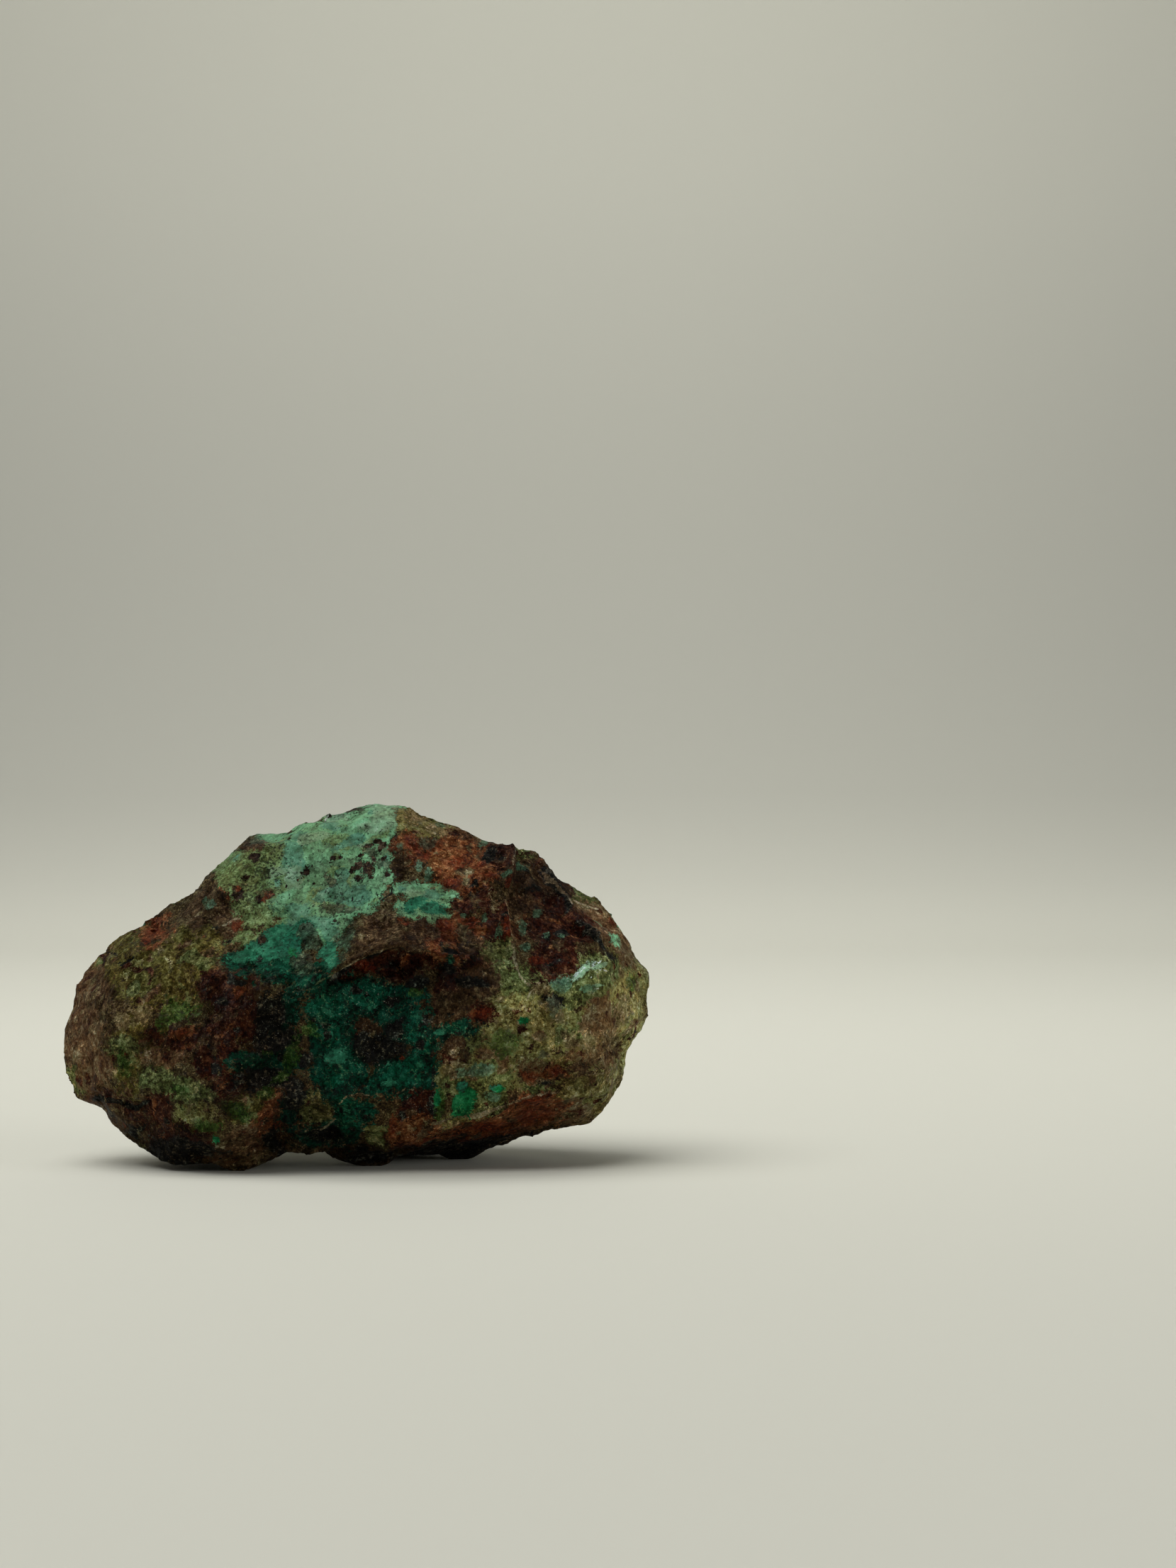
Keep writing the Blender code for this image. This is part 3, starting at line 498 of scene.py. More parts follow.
def warps(places):
    """Two directions in which each place is pushed before it is looked up, so no patch is a plain ellipse."""
    wide, fine = (
        sampled(lambda p: noise.noise_vector(p / (warp_size * MM)), places) for warp_size in WARP_SIZES
    )
    return (wide[:, 0] + FINE_WARP * fine[:, 0], wide[:, 2] + FINE_WARP * fine[:, 2])


def patch_field(across, up, warp, x, z, wide, high, turn=0.0):
    """How far inside a patch each place lies, in mm."""
    small = min(wide, high)
    push = min(WARP_REACH, WARP_SHARE * small)
    c, s = math.cos(math.radians(turn)), math.sin(math.radians(turn))
    dx, dz = across + push * warp[0] - x, up + push * warp[1] - z
    d = np.hypot((dx * c + dz * s) / wide, (dz * c - dx * s) / high)
    return (1 - d) * max(small, SMALLEST)


def patches_field(across, up, warp, patches):
    """The highest field of any of the patches."""
    field = np.full(len(across), -FIELD_LIMIT)
    for patch in patches:
        field = np.maximum(field, patch_field(across, up, warp, *patch))
    return field


def streak_field(across, up, warp, half, *points):
    d = to_line(across + STREAK_WARP * warp[0], up + STREAK_WARP * warp[1], points) / half
    return (1 - d) * SMALLEST


def rear_field(name, places):
    """The coat's boulders and drifts, on the sides that the front doesn't show."""
    field = np.full(len(places), -FIELD_LIMIT)
    for x, y, z, radius in BOULDERS.get(name, ()):
        d = np.linalg.norm(places / MM - (x, y, z), axis=1) / radius
        field = np.maximum(field, (1 - d) * BOULDER_SLOPE * radius)
    if name in DRIFTS:
        share, drift_size = DRIFTS[name]
        # here and below, each coat reads the noise in a corner of its own
        offset = Vector((len(name), 3.1 * list(COATS).index(name), 7.7))
        drift = sampled(lambda p: noise.noise(p / (drift_size * MM) + offset), places)
        field = np.maximum(field, (drift - 0.5 + share) * DRIFT_SLOPE * drift_size)
    return field


def add_islands(fields, places):
    """Scatters islands of one coat in another; a coat also runs into its neighbours by a wandering edge."""
    for i, name in enumerate(COATS):
        offset = Vector((5.3 * i, 2.7, 1.9 * i))
        wander = sampled(lambda p: noise.noise(p / (MINGLE_SIZE * MM) + offset), places)
        fields[name] = fields[name] + MINGLE * wander * (fields[name] > -FIELD_LIMIT)
    for i, (name, host, share, island) in enumerate(ISLANDS):
        offset = Vector((3.9, 4.3 * i, 8.1 + i))
        drift = sampled(lambda p: noise.noise(p / (island * MM) + offset), places)
        shore = (drift - 0.5 + share) * island * ISLAND_SLOPE
        fields[name] = np.maximum(fields[name], np.minimum(fields[host] - ISLAND_RIM, shore))


def coat_fields(places, front):
    """For each coat and wash, the pepper and the glints: how far inside it each place lies."""
    across, up = seen_from_front(places)
    warp = warps(places)
    hidden = SIDE_SLOPE * np.maximum(0, 0.5 - front)
    shown = SIDE_SLOPE * np.maximum(0, front - 0.5)
    fields = {}
    for name, patches in COATS.items():
        field = patches_field(across, up, warp, patches)
        for streak in STREAKS.get(name, ()):
            field = np.maximum(field, streak_field(across, up, warp, *streak))
        field = np.maximum(field - hidden, rear_field(name, places) - shown)
        fields[name] = np.clip(field, -FIELD_LIMIT, FIELD_LIMIT)
    add_islands(fields, places)
    # the washes are painted shade and painted light
    for name, (_, patches) in WASHES.items():
        field = patches_field(across, up, warp, patches) - hidden
        fields["wash_" + name] = smooth_step(field, -WASH_EDGE, WASH_EDGE)
    fields["pepper"] = np.clip(patches_field(across, up, warp, PEPPER) - hidden, *PEPPER_RANGE)
    # the painted glints
    fields["glints"] = np.clip(patches_field(across, up, warp, GLINTS) - hidden, *GLINT_RANGE)
    return fields


# ---- relief --------------------------------------------------
def broken(p):
    """The lowest of the tilted planes round a place (its own scale is 1): faces that meet in sharp ridges."""
    p = p + FACET_BEND * noise.noise_vector(p * FACET_BEND_SCALE)
    planes = []
    for seed in noise.voronoi(p)[1]:
        tilt = noise.noise_vector(seed * TILT_SCALE + TILT_CORNER)
        planes.append((p - seed).dot(tilt) * FACET_TILT + FACET_CUP * (p - seed).length)
    return min(planes)


def evened(values):
    """The values, shifted and scaled to a mean of 0 and a spread of half a unit."""
    return 0.5 * (values - values.mean()) / values.std()


def relief(piece, fields, front):
    """Moves the skin along its normals: broken faces, crumbly grain, ridges and furrows."""
    mesh = piece.data
    places, normals = read(mesh, "co"), read(mesh, "normal")
    across, up = seen_from_front(places)
    roughness = np.ones(len(places))
    for name, smoothness in SMOOTH_COATS.items():
        roughness -= smoothness * smooth_step(fields[name], *SMOOTH_COAT_EDGE)
    roughness = np.maximum(roughness, LEAST_ROUGHNESS)
    height = np.full(len(places), -SINK)
    for size, reach in FACETS:
        faces = sampled(lambda p: broken(p / (size * MM)), places)
        height += reach * evened(faces) * (1 + roughness) / 2
    for size, reach in CRUMBLE:
        grain = sampled(lambda p: abs(noise.noise(p / (size * MM))), places)
        height += reach * evened(grain) * roughness
    for half, rise, *points in LINES:
        share = 1 - smooth_step(to_line(across, up, points), LINE_EDGE[0] * half, LINE_EDGE[1] * half)
        height += rise * share * (front > LINE_FRONT)
    height *= smooth_step(places[:, 2], *FOOT_FADE)
    places += normals * (height * MM)[:, None]
    places = np.clip(places, *np.array(cad_box))
    mesh.vertices.foreach_set("co", places.ravel())
    mesh.update()


# ---- material ------------------------------------------------
# From the darkest to the palest tone of each coat, and of the ground under them.
TONES = {
    "ground": ((0.006, 0.0028, 0.0008), (0.022, 0.012, 0.0043), (0.052, 0.033, 0.012),
               (0.11, 0.083, 0.034), (0.25, 0.21, 0.12)),
    "khaki": ((0.016, 0.01, 0.0014), (0.044, 0.034, 0.0056), (0.079, 0.066, 0.013),
              (0.136, 0.12, 0.03), (0.25, 0.23, 0.085)),
    "straw": ((0.046, 0.032, 0.0075), (0.115, 0.1, 0.028), (0.195, 0.185, 0.063),
              (0.31, 0.3, 0.125), (0.53, 0.53, 0.34)),
    "sage": ((0.015, 0.0126, 0.0025), (0.045, 0.049, 0.013), (0.088, 0.106, 0.033),
             (0.16, 0.19, 0.07), (0.3, 0.33, 0.164)),
    "rose": ((0.023, 0.0084, 0.0032), (0.062, 0.029, 0.0114), (0.11, 0.059, 0.027),
             (0.17, 0.11, 0.057), (0.29, 0.23, 0.146)),
    "umber": ((0.0115, 0.0043, 0.0012), (0.029, 0.014, 0.0047), (0.053, 0.029, 0.0125),
              (0.096, 0.06, 0.028), (0.21, 0.146, 0.078)),
    "maroon": ((0.0053, 0.0004, 0.0002), (0.017, 0.0026, 0.0007), (0.036, 0.0072, 0.0026),
               (0.063, 0.019, 0.0073), (0.147, 0.065, 0.031)),
    "rust": ((0.027, 0.0043, 0.0007), (0.079, 0.019, 0.0044), (0.136, 0.045, 0.014),
             (0.21, 0.086, 0.033), (0.34, 0.19, 0.089)),
    "mint": ((0.056, 0.114, 0.06), (0.1, 0.215, 0.114), (0.144, 0.32, 0.172),
             (0.19, 0.415, 0.225), (0.26, 0.51, 0.32)),
    "pistachio": ((0.035, 0.038, 0.0125), (0.082, 0.108, 0.036), (0.13, 0.2, 0.075),
                  (0.18, 0.29, 0.12), (0.28, 0.43, 0.22)),
    "aqua": ((0.03, 0.07, 0.045), (0.05, 0.14, 0.09), (0.07, 0.21, 0.145),
             (0.11, 0.29, 0.2), (0.18, 0.39, 0.29)),
    # pale mint, partly painted highlight
    "pale": ((0.086, 0.13, 0.077), (0.15, 0.25, 0.155), (0.21, 0.34, 0.21),
             (0.28, 0.43, 0.28), (0.43, 0.55, 0.42)),
    "teal": ((0.0003, 0.0024, 0.0015), (0.0005, 0.013, 0.007), (0.0007, 0.034, 0.019),
             (0.0022, 0.061, 0.037), (0.022, 0.12, 0.086)),
    "jade": ((0.0002, 0.012, 0.0063), (0.0005, 0.035, 0.018), (0.0012, 0.062, 0.033),
             (0.0034, 0.092, 0.053), (0.019, 0.146, 0.095)),
    # black rock, and painted shade
    "ink": ((0.0005, 0.0005, 0.0005), (0.002, 0.002, 0.0015), (0.006, 0.006, 0.005),
            (0.018, 0.019, 0.014), (0.11, 0.12, 0.1)),
    "ash": ((0.01, 0.009, 0.006), (0.028, 0.028, 0.018), (0.055, 0.06, 0.038),
            (0.09, 0.105, 0.07), (0.18, 0.21, 0.14)),
    "spots": ((0.003, 0.001, 0.001), (0.01, 0.005, 0.003), (0.022, 0.012, 0.007),
              (0.045, 0.028, 0.016), (0.12, 0.09, 0.06)),
    "tan": ((0.03, 0.018, 0.006), (0.07, 0.05, 0.022), (0.13, 0.1, 0.045),
            (0.22, 0.175, 0.09), (0.42, 0.37, 0.26)),
    # painted highlight on lit edges
    "cream": ((0.05, 0.034, 0.018), (0.12, 0.09, 0.05), (0.22, 0.175, 0.105),
              (0.34, 0.29, 0.19), (0.5, 0.45, 0.33)),
    "flecks": ((0.012, 0.03, 0.015), (0.035, 0.08, 0.045), (0.06, 0.14, 0.085),
               (0.1, 0.21, 0.13), (0.2, 0.34, 0.24)),
    "lime": ((0.0026, 0.0096, 0.001), (0.0088, 0.034, 0.003), (0.021, 0.067, 0.007),
             (0.044, 0.115, 0.018), (0.106, 0.2, 0.06)),
    "ember": ((0.019, 0.0012, 0.0002), (0.052, 0.0042, 0.0008), (0.104, 0.012, 0.0028),
              (0.17, 0.03, 0.0086), (0.27, 0.084, 0.031)),
    "emerald": ((0.001, 0.024, 0.0043), (0.003, 0.072, 0.022), (0.006, 0.144, 0.047),
                (0.015, 0.21, 0.079), (0.05, 0.29, 0.13)),
    "viridian": ((0.0045, 0.028, 0.0156), (0.0105, 0.083, 0.046), (0.0195, 0.14, 0.083),
                 (0.034, 0.2, 0.12), (0.068, 0.28, 0.184)),
    # painted glints
    "frost": ((0.1, 0.13, 0.1), (0.22, 0.26, 0.22), (0.36, 0.4, 0.36),
              (0.5, 0.54, 0.5), (0.7, 0.72, 0.7)),
}


class Nodes:
    """Short calls for building a node tree."""

    def __init__(self, material):
        self.tree = material.node_tree

    def fill(self, socket, value):
        """Links a socket to the one given, or gives it a plain value."""
        if isinstance(value, bpy.types.NodeSocket):
            self.tree.links.new(value, socket)
        else:
            socket.default_value = value

    def add(self, kind, inputs=None, **settings):
        node = self.tree.nodes.new(kind)
        for key, value in settings.items():
            setattr(node, key, value)
        for key, value in (inputs or {}).items():
            self.fill(node.inputs[key], value)
        return node

    def math(self, operation, a, b=0.0, c=0.0, clamp=False):
        node = self.add("ShaderNodeMath", {0: a, 1: b, 2: c}, operation=operation, use_clamp=clamp)
        return node.outputs[0]

    def vector(self, operation, a, b):
        inputs = {0: a, 3 if operation == "SCALE" else 1: b}
        node = self.add("ShaderNodeVectorMath", inputs, operation=operation)
        return node.outputs["Value" if operation == "DOT_PRODUCT" else "Vector"]

    def attribute(self, name):
        return self.add("ShaderNodeAttribute", attribute_name=name).outputs["Fac"]

    def noise(self, where, size, detail, roughness):
        """Three noises that don't match each other, each about 0 to 1 around 0.5."""
        inputs = {"Vector": where, "Scale": 1 / (size * MM), "Detail": detail, "Roughness": roughness}
        node = self.add("ShaderNodeTexNoise", inputs)
        split = self.add("ShaderNodeSeparateColor", {"Color": node.outputs["Color"]})
        return split.outputs[0], split.outputs[1], split.outputs[2]

    def bent(self, where, size, reach, detail):
        """The places, each pushed up to about half of reach by a noise of this size, both in mm."""
        push = self.add("ShaderNodeTexNoise", {"Vector": where, "Scale": 1 / (size * MM), "Detail": detail})
        push = self.vector("SUBTRACT", push.outputs["Color"], (0.5, 0.5, 0.5))
        return self.vector("ADD", where, self.vector("SCALE", push, reach * MM))

    def blend_of(self, *parts):
        """0.5 plus each noise's distance from 0.5 times its weight."""
        total = 0.5
        for value, weight in parts:
            total = self.math("MULTIPLY_ADD", self.math("SUBTRACT", value, 0.5), weight, total)
        return total

    def step(self, value, low, high, to_low=0.0, to_high=1.0):
        inputs = {"Value": value, "From Min": low, "From Max": high, "To Min": to_low, "To Max": to_high}
        return self.add("ShaderNodeMapRange", inputs, interpolation_type="SMOOTHSTEP").outputs[0]

    def ramp(self, value, colours, low=0.18, high=0.82):
        node = self.add("ShaderNodeValToRGB", {0: value})
        ramp = node.color_ramp
        while len(ramp.elements) < len(colours):
            ramp.elements.new(0.5)
        for i, colour in enumerate(colours):
            ramp.elements[i].position = low + (high - low) * i / (len(colours) - 1)
            ramp.elements[i].color = (*colour, 1.0)
        return node.outputs[0]

    def mix(self, share, a, b, blend="MIX"):
        node = self.add("ShaderNodeMix", data_type="RGBA", blend_type=blend)
        for socket, value in ((node.inputs[0], share), (node.inputs[6], a), (node.inputs[7], b)):
            self.fill(socket, value)
        return node.outputs[2]


# The size in mm, the detail and the roughness of each noise: drift, coarse, medium, fine, dots and bend.
NOISES = ((9.0, 2, 0.5), (2.2, 5, 0.65), (0.6, 4, 0.68), (0.24, 3, 0.7), (0.42, 1, 0.5), (3.0, 5, 0.6))
GROUND_WEIGHTS = (1.2, 1.2, 0.8)
# The share of a coat that hides what lies under it, where it isn't all.
COVER = {
    "cream": 0.8, "tan": 0.8, "ember": 0.75, "ash": 0.8, "pale": 0.7, "flecks": 0.7, "rose": 0.9,
    "lime": 0.7, "pistachio": 0.85, "aqua": 0.8,
}
COAT_EDGE = (0.35, 0.65)        # a coat's own blend runs from nothing to full between these
RAGGED = (3.0, 3.6, 2.2)        # how far coarse, medium and fine noise push the edge of a coat, in mm
NEAT = (1.6, 2.6, 2.0)          # the same for small marks, which keep their shapes
SMALL_MARKS = ("spots", "frost", "emerald", "flecks", "cream")
PAINTED = (1.2, 2.0, 1.6)       # and for painted crusts, which lie in wide unbroken patches
CRUSTS = ("mint", "aqua", "pale", "viridian", "emerald")
# How much coarse, medium and fine noise vary a coat's tone: painted crusts are smooth, crumbly rock isn't.
GRAINY, SMOOTH = (1.2, 1.5, 0.9), (1.5, 1.0, 0.5)
# The coats that count as turquoise, and those that end it where they lie over it.
BLUE_COATS = ("mint", "pale", "aqua", "pistachio", "viridian")
COVERING_COATS = ("spots", "tan", "rust", "ash")
# Marks: BREAKS and STEP are where a noise lets a mark begin and be full, STRENGTH is how much it covers.
CRACKLE_SIZE, CRACKLE_WIDTH = 2.4, 0.05
CRACKLE_BREAKS, CRACKLE_STRENGTH = (0.48, 0.6), 0.65
PEPPER_GAIN, PEPPER_STEP = 0.05, (0.61, 0.67)
PEPPER_STRENGTH, ROCK_PEPPER = 0.75, 0.05
PIT_COLOUR = (0.006, 0.006, 0.004, 1.0)
GLINT_GAIN, GLINT_MEDIUM = 0.075, 0.4
GLINT_STEP, GLINT_STRENGTH = (0.96, 1.03), 0.6
# the colour of the painted glints
GLINT_COLOUR = (0.42, 0.42, 0.37, 1.0)
THREAD_WIDTH, THREAD_PALENESS = 0.016, 0.35
THREAD_BREAKS, THREAD_STRENGTH = (0.46, 0.58), 0.7
THREAD_COLOUR, THREAD_GAIN = (0.30, 0.25, 0.15, 1.0), (3.4, 2.8, 2.4, 1.0)
CRACK_SIZE, CRACK_WIDTH = 1.5, 0.09
CRACK_BREAKS, CRACK_STRENGTH = (0.46, 0.58), 0.5
# Two pairs of faint tints, where a noise changes from one to the other, and how strong they are.
WARM, COOL = (1.08, 1.0, 0.88, 1.0), (0.92, 1.0, 1.0, 1.0)
WARM_STEP, WARM_STRENGTH = (0.35, 0.65), 0.8
RUDDY, LEAFY = (1.15, 0.95, 0.92, 1.0), (0.9, 1.05, 0.98, 1.0)
RUDDY_STEP, RUDDY_STRENGTH = (0.38, 0.62), 0.45
# Fine relief in the material, in mm: soft grain, pits, and small broken faces as (size, gain on their tilt).
GRAIN_HEIGHT, GRAIN_WEIGHTS, PIT_DEPTH = 0.07, (1.0, 0.6), 0.09
CHIPS = ((1.7, 1.3), (0.7, 1.4), (0.32, 1.0))
CHIP_BEND_SIZE, CHIP_BEND = 0.6, 0.35
BLUE_SMOOTHNESS = 0.6           # how much less the turquoise is chipped
VEIN_BEND_SIZE, VEIN_BEND = 0.5, 0.9
GLOSS = 0.06
SHEEN = (0.2, 0.8, 0.4, 0.7)    # where the medium noise starts and ends, and the roughness it gives there


def veins(n, where, size, width):
    """Thin dark lines round cells of uneven shape, broken here and there."""
    place = n.bent(where, VEIN_BEND_SIZE * size, VEIN_BEND * size, 3.0)
    inputs = {"Vector": place, "Scale": 1 / (size * MM)}
    cells = n.add("ShaderNodeTexVoronoi", inputs, feature="DISTANCE_TO_EDGE")
    return n.step(cells.outputs["Distance"], 0.0, width, 1.0, 0.0)


def chips(n, where, size):
    """Small broken faces, as a height in metres: every cell is a plane with a tilt of its own."""
    place = n.bent(where, CHIP_BEND_SIZE * size, CHIP_BEND * size, 2.0)
    cells = n.add("ShaderNodeTexVoronoi", {"Vector": place, "Scale": 1 / (size * MM)}, feature="F1")
    away = n.vector("SUBTRACT", place, cells.outputs["Position"])
    tilt = n.vector("SUBTRACT", cells.outputs["Color"], (0.5, 0.5, 0.5))
    return n.vector("DOT_PRODUCT", away, tilt)


def coats(n, coarse, medium, fine):
    """The coats over each other, with ragged edges, and the share of each place that is turquoise."""
    tone = n.blend_of(*zip((medium[0], fine[1], coarse[2]), GROUND_WEIGHTS))
    colour = n.ramp(tone, TONES["ground"])
    blue = 0.0
    for i, name in enumerate(COATS):
        one, two, three = i % 3, (i + 1) % 3, (i + 2) % 3
        push = NEAT if name in SMALL_MARKS else PAINTED if name in CRUSTS else RAGGED
        edge = n.blend_of(*zip((coarse[one], medium[two], fine[three]), push))
        share = n.step(n.math("ADD", n.attribute(name), edge), *COAT_EDGE, 0.0, COVER.get(name, 1.0))
        vary = SMOOTH if name in CRUSTS else GRAINY
        tone = n.blend_of(*zip((coarse[two], medium[three], fine[one]), vary))
        colour = n.mix(share, colour, n.ramp(tone, TONES[name]))
        if name in BLUE_COATS:
            blue = n.math("MAXIMUM", blue, share)
        elif name in COVERING_COATS:
            blue = n.math("SUBTRACT", blue, share, clamp=True)
    # the washes multiply painted shade and painted light into the colour
    for name, (tint, _) in WASHES.items():
        colour = n.mix(n.attribute("wash_" + name), colour, (*tint, 1.0), blend="MULTIPLY")
    return colour, blue


def stone_material():
    material = bpy.data.materials.new("rough_turquoise")
    material.use_nodes = True
    n = Nodes(material)
    where = n.add("ShaderNodeTexCoord").outputs["Object"]
    drift, coarse, medium, fine, dots, bend = (n.noise(where, *settings) for settings in NOISES)
    colour, blue = coats(n, coarse, medium, fine)
    # the turquoise is crackled by hair-fine dark lines, and peppered with pits
    breaks = n.step(coarse[2], *CRACKLE_BREAKS)
    crackle = n.math("MULTIPLY", veins(n, where, CRACKLE_SIZE, CRACKLE_WIDTH), breaks)
    crackle = n.math("MULTIPLY", crackle, n.math("MULTIPLY", blue, CRACKLE_STRENGTH))
    colour = n.mix(crackle, colour, PIT_COLOUR)
    pepper = n.step(n.math("MULTIPLY_ADD", n.attribute("pepper"), PEPPER_GAIN, dots[0]), *PEPPER_STEP)
    pepper = n.math("MULTIPLY", pepper, n.math("MULTIPLY_ADD", blue, PEPPER_STRENGTH, ROCK_PEPPER))
    colour = n.mix(pepper, colour, PIT_COLOUR)
    # painted glints: pale specks that stand in for the crystals' sparkle, in loose clouds
    grain = n.math("MULTIPLY_ADD", medium[0], GLINT_MEDIUM, fine[2])
    grain = n.math("MULTIPLY_ADD", n.attribute("glints"), GLINT_GAIN, grain)
    grain = n.math("MULTIPLY", n.step(grain, *GLINT_STEP), GLINT_STRENGTH)
    colour = n.mix(grain, colour, GLINT_COLOUR)
    # thin pale threads where one noise crosses its middle, broken up by another, and dark cracks round crumbs
    rock = n.math("SUBTRACT", 1.0, blue, clamp=True)
    thread = n.step(n.math("ABSOLUTE", n.math("SUBTRACT", bend[0], 0.5)), 0.0, THREAD_WIDTH, 1.0, 0.0)
    thread = n.math("MULTIPLY", thread, n.step(medium[1], *THREAD_BREAKS, 0.0, THREAD_STRENGTH))
    thread = n.math("MULTIPLY", thread, rock)
    colour = n.mix(thread, colour, THREAD_GAIN, blend="MULTIPLY")
    colour = n.mix(n.math("MULTIPLY", thread, THREAD_PALENESS), colour, THREAD_COLOUR)
    crack = n.step(bend[1], *CRACK_BREAKS, 0.0, CRACK_STRENGTH)
    crack = n.math("MULTIPLY", veins(n, where, CRACK_SIZE, CRACK_WIDTH), crack)
    crack = n.math("MULTIPLY", crack, rock)
    colour = n.mix(crack, colour, PIT_COLOUR)
    for noise_value, limits, low_tint, high_tint, strength in (
        (drift[1], WARM_STEP, WARM, COOL, WARM_STRENGTH),
        (coarse[1], RUDDY_STEP, RUDDY, LEAFY, RUDDY_STRENGTH),
    ):
        tint = n.mix(n.step(noise_value, *limits), low_tint, high_tint)
        colour = n.mix(strength, colour, tint, blend="MULTIPLY")
    # the fine relief
    height = n.blend_of(*zip((medium[1], fine[0]), GRAIN_WEIGHTS))
    height = n.math("MULTIPLY", height, GRAIN_HEIGHT * MM)
    pits = n.math("ADD", n.math("ADD", crackle, pepper), crack)
    height = n.math("MULTIPLY_ADD", pits, -PIT_DEPTH * MM, height)
    rough = n.math("MULTIPLY_ADD", blue, -BLUE_SMOOTHNESS, 1.0)
    for size, gain in CHIPS:
        height = n.math("MULTIPLY_ADD", chips(n, where, size), n.math("MULTIPLY", rough, gain), height)
    bump = n.add("ShaderNodeBump", {"Strength": 1.0, "Distance": 1.0, "Height": height})
    shader = material.node_tree.nodes["Principled BSDF"]
    n.fill(shader.inputs["Specular IOR Level"], GLOSS)
    n.fill(shader.inputs["Base Color"], colour)
    n.fill(shader.inputs["Roughness"], n.step(medium[2], *SHEEN))
    n.fill(shader.inputs["Normal"], bump.outputs[0])
    return material


def make_stone():
    piece = fine_skin(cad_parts["turquoise_stone"])
    mesh = piece.data
    places = read(mesh, "co")
    front = frontness(places, read(mesh, "normal"))
    fields = coat_fields(places, front)
    for name, field in fields.items():
        layer = mesh.attributes.new(name, "FLOAT", "POINT")
        layer.data.foreach_set("value", np.asarray(field, np.float32))
    relief(piece, fields, front)
    mesh.materials.append(stone_material())
    mesh.shade_smooth()
    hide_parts("turquoise_stone")
    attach(piece, "root")


make_stone()

# ---- floor, backdrop and light -------------------------------
STAGE_HALF_WIDTH = 2.5
FLOOR_FRONT, WALL_Y, WALL_TOP = -1.6, 0.95, 1.6
SWEEP_RADIUS = 0.40
SWEEP_STEPS = 32
PAPER = (0.665, 0.66, 0.57)
PAPER_ROUGHNESS = 0.8
# Painted light and shade: the backdrop's changes in brightness are painted into the paper's colour.
# The backdrop's tone against the floor's, from the floor's far edge (height 0) up the wall, in metres.
BACKDROP_PAINTED_SHADING = (
    (0, 1), (0.02, 0.83), (0.05, 0.672), (0.12, 0.643), (0.2, 0.658), (0.29, 0.758), (0.36, 0.83),
    (0.42, 0.854),
)
# Painted light: the floor is painted brighter away from the camera between these places along Y, in metres,
# by these gains.
FAR_FLOOR = (-0.25, 0.28)
NEAR_GAIN, FAR_GAIN = 0.98, 1.24
# Painted shade: the paper is painted darker towards its sides, over this distance from its brightest line, in
# metres.
BRIGHT_LINE_X = 0.075
SIDE_REACH = 0.5
MIDDLE_GAIN, SIDE_GAIN = 1.03, 0.8


def make_stage():
    """One seamless sweep of pale paper: floor, curve and wall."""
    line = [(FLOOR_FRONT, 0.0)]
    for i in range(SWEEP_STEPS + 1):
        turn = math.pi / 2 * i / SWEEP_STEPS
        y = WALL_Y - SWEEP_RADIUS + SWEEP_RADIUS * math.sin(turn)
        line.append((y, SWEEP_RADIUS * (1 - math.cos(turn))))
    line.append((WALL_Y, WALL_TOP))
    verts = [(x, y, z) for y, z in line for x in (-STAGE_HALF_WIDTH, STAGE_HALF_WIDTH)]
    faces = [(2 * i, 2 * i + 1, 2 * i + 3, 2 * i + 2) for i in range(len(line) - 1)]
    mesh = bpy.data.meshes.new("sweep")
    mesh.from_pydata(verts, [], faces)
    mesh.shade_smooth()
    sweep = bpy.data.objects.new("sweep", mesh)
    bpy.context.scene.collection.objects.link(sweep)
    mesh.materials.append(paper_material())


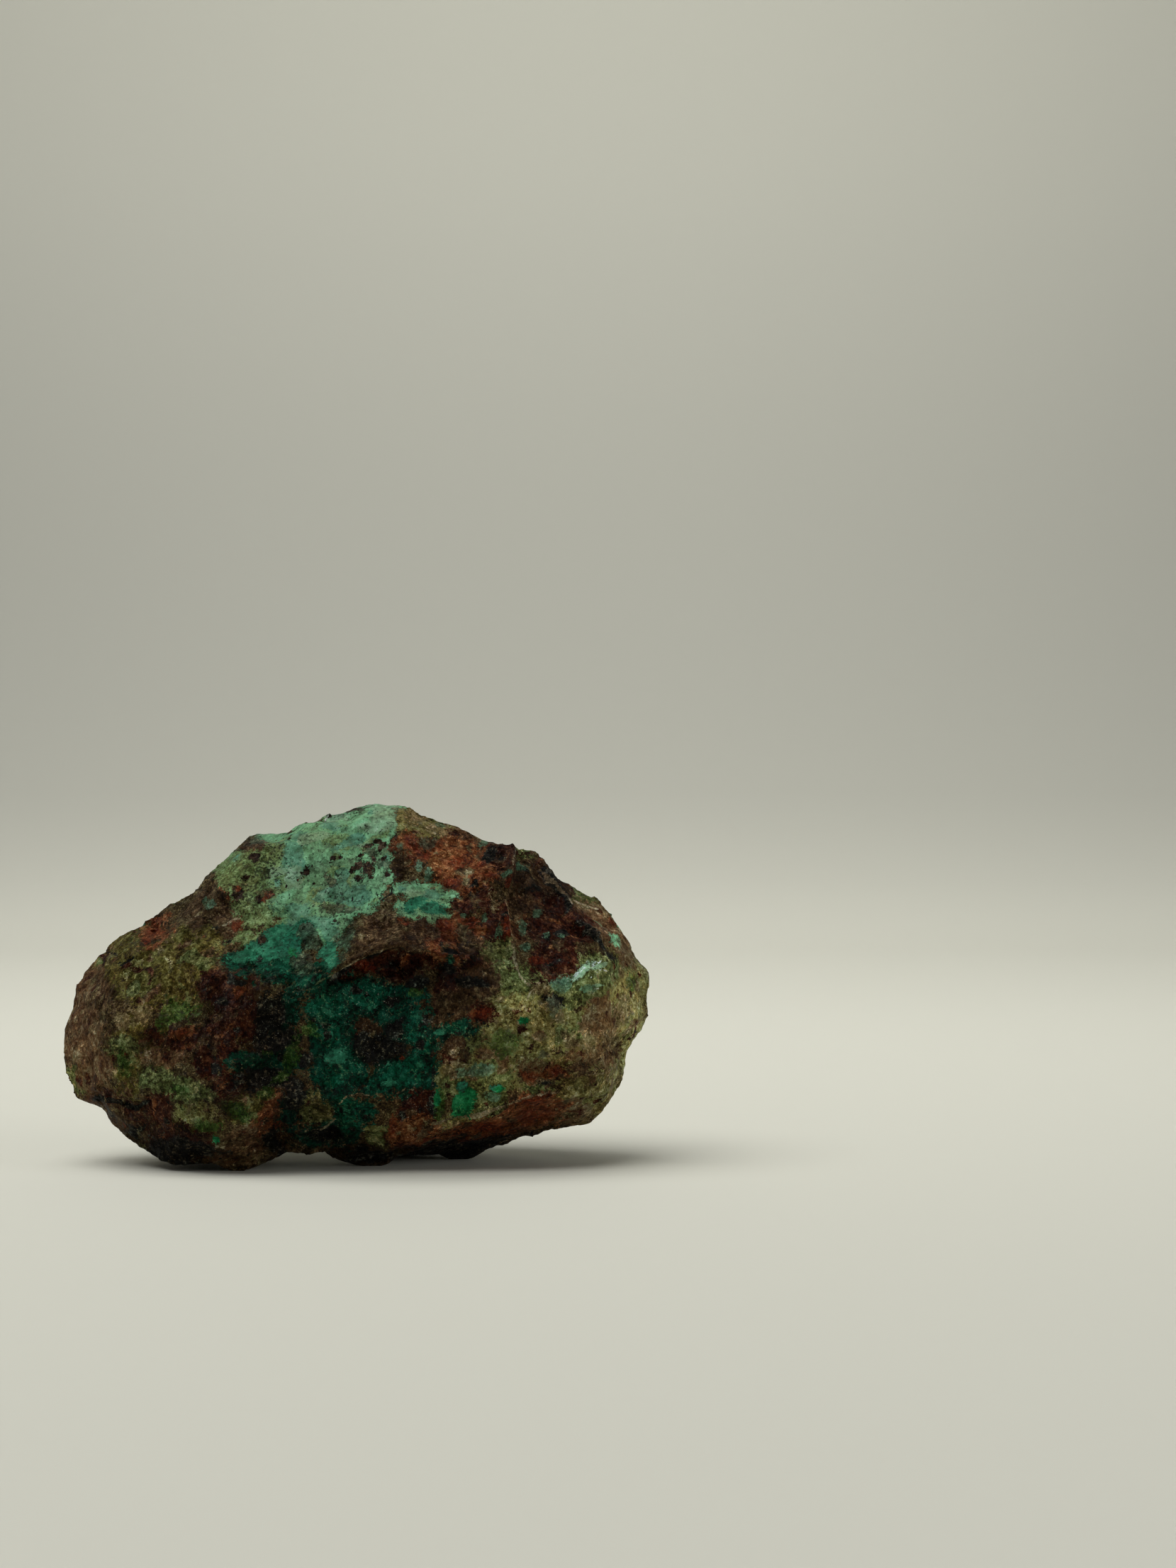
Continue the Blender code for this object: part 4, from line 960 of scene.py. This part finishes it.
def paper_material():
    material = bpy.data.materials.new("pale_paper_and_painted_shading")
    material.use_nodes = True
    n = Nodes(material)
    where = n.add("ShaderNodeTexCoord").outputs["Object"]
    place = n.add("ShaderNodeSeparateXYZ", {0: where})
    ramp = n.add("ShaderNodeValToRGB", {0: n.math("DIVIDE", place.outputs[2], WALL_TOP)})
    ramp.color_ramp.interpolation = "B_SPLINE"
    while len(ramp.color_ramp.elements) < len(BACKDROP_PAINTED_SHADING):
        ramp.color_ramp.elements.new(0.5)
    for element, (level, tone) in zip(ramp.color_ramp.elements, BACKDROP_PAINTED_SHADING):
        element.position = level / WALL_TOP
        element.color = (*(tone * c for c in PAPER), 1.0)
    # painted light and shade: brighter far away and in the middle, darker towards the sides
    aside = n.math("ABSOLUTE", n.math("SUBTRACT", place.outputs[0], BRIGHT_LINE_X))
    gain = n.step(place.outputs[1], *FAR_FLOOR, NEAR_GAIN, FAR_GAIN)
    gain = n.math("MULTIPLY", gain, n.step(aside, 0.0, SIDE_REACH, MIDDLE_GAIN, SIDE_GAIN))
    shader = material.node_tree.nodes["Principled BSDF"]
    n.fill(shader.inputs["Base Color"], n.vector("SCALE", ramp.outputs[0], gain))
    n.fill(shader.inputs["Roughness"], PAPER_ROUGHNESS)
    return material


def make_light(name, place, target, size, energy):
    data = bpy.data.lights.new(name, "AREA")
    data.shape = "DISK"
    data.size = size
    data.energy = energy
    light = bpy.data.objects.new(name, data)
    light.location = place
    light.rotation_euler = (Vector(target) - Vector(place)).to_track_quat("-Z", "Y").to_euler()
    bpy.context.scene.collection.objects.link(light)


ROOM_LIGHT = 0.065


def make_world():
    world = bpy.data.worlds.new("room")
    bpy.context.scene.world = world
    world.use_nodes = True
    background = world.node_tree.nodes["Background"]
    background.inputs["Color"].default_value = (1.0, 1.0, 1.0, 1.0)
    background.inputs["Strength"].default_value = ROOM_LIGHT


# name: (place, what it is aimed at, diameter, in metres, and power in watts)
LIGHTS = {
    "softbox": ((-0.36, -0.15, 0.97), (0, 0, 0), 1.1, 9.8),
    "fill": ((1, -0.3, 0.22), (0, 0, 0.03), 0.5, 2.8),
    "wall_light": ((0, 0.35, 1.3), (0, 0.95, 0.5), 0.8, 3),
}

make_stage()
for light_name, settings in LIGHTS.items():
    make_light(light_name, *settings)
make_world()
bpy.context.scene.view_settings.view_transform = "Standard"
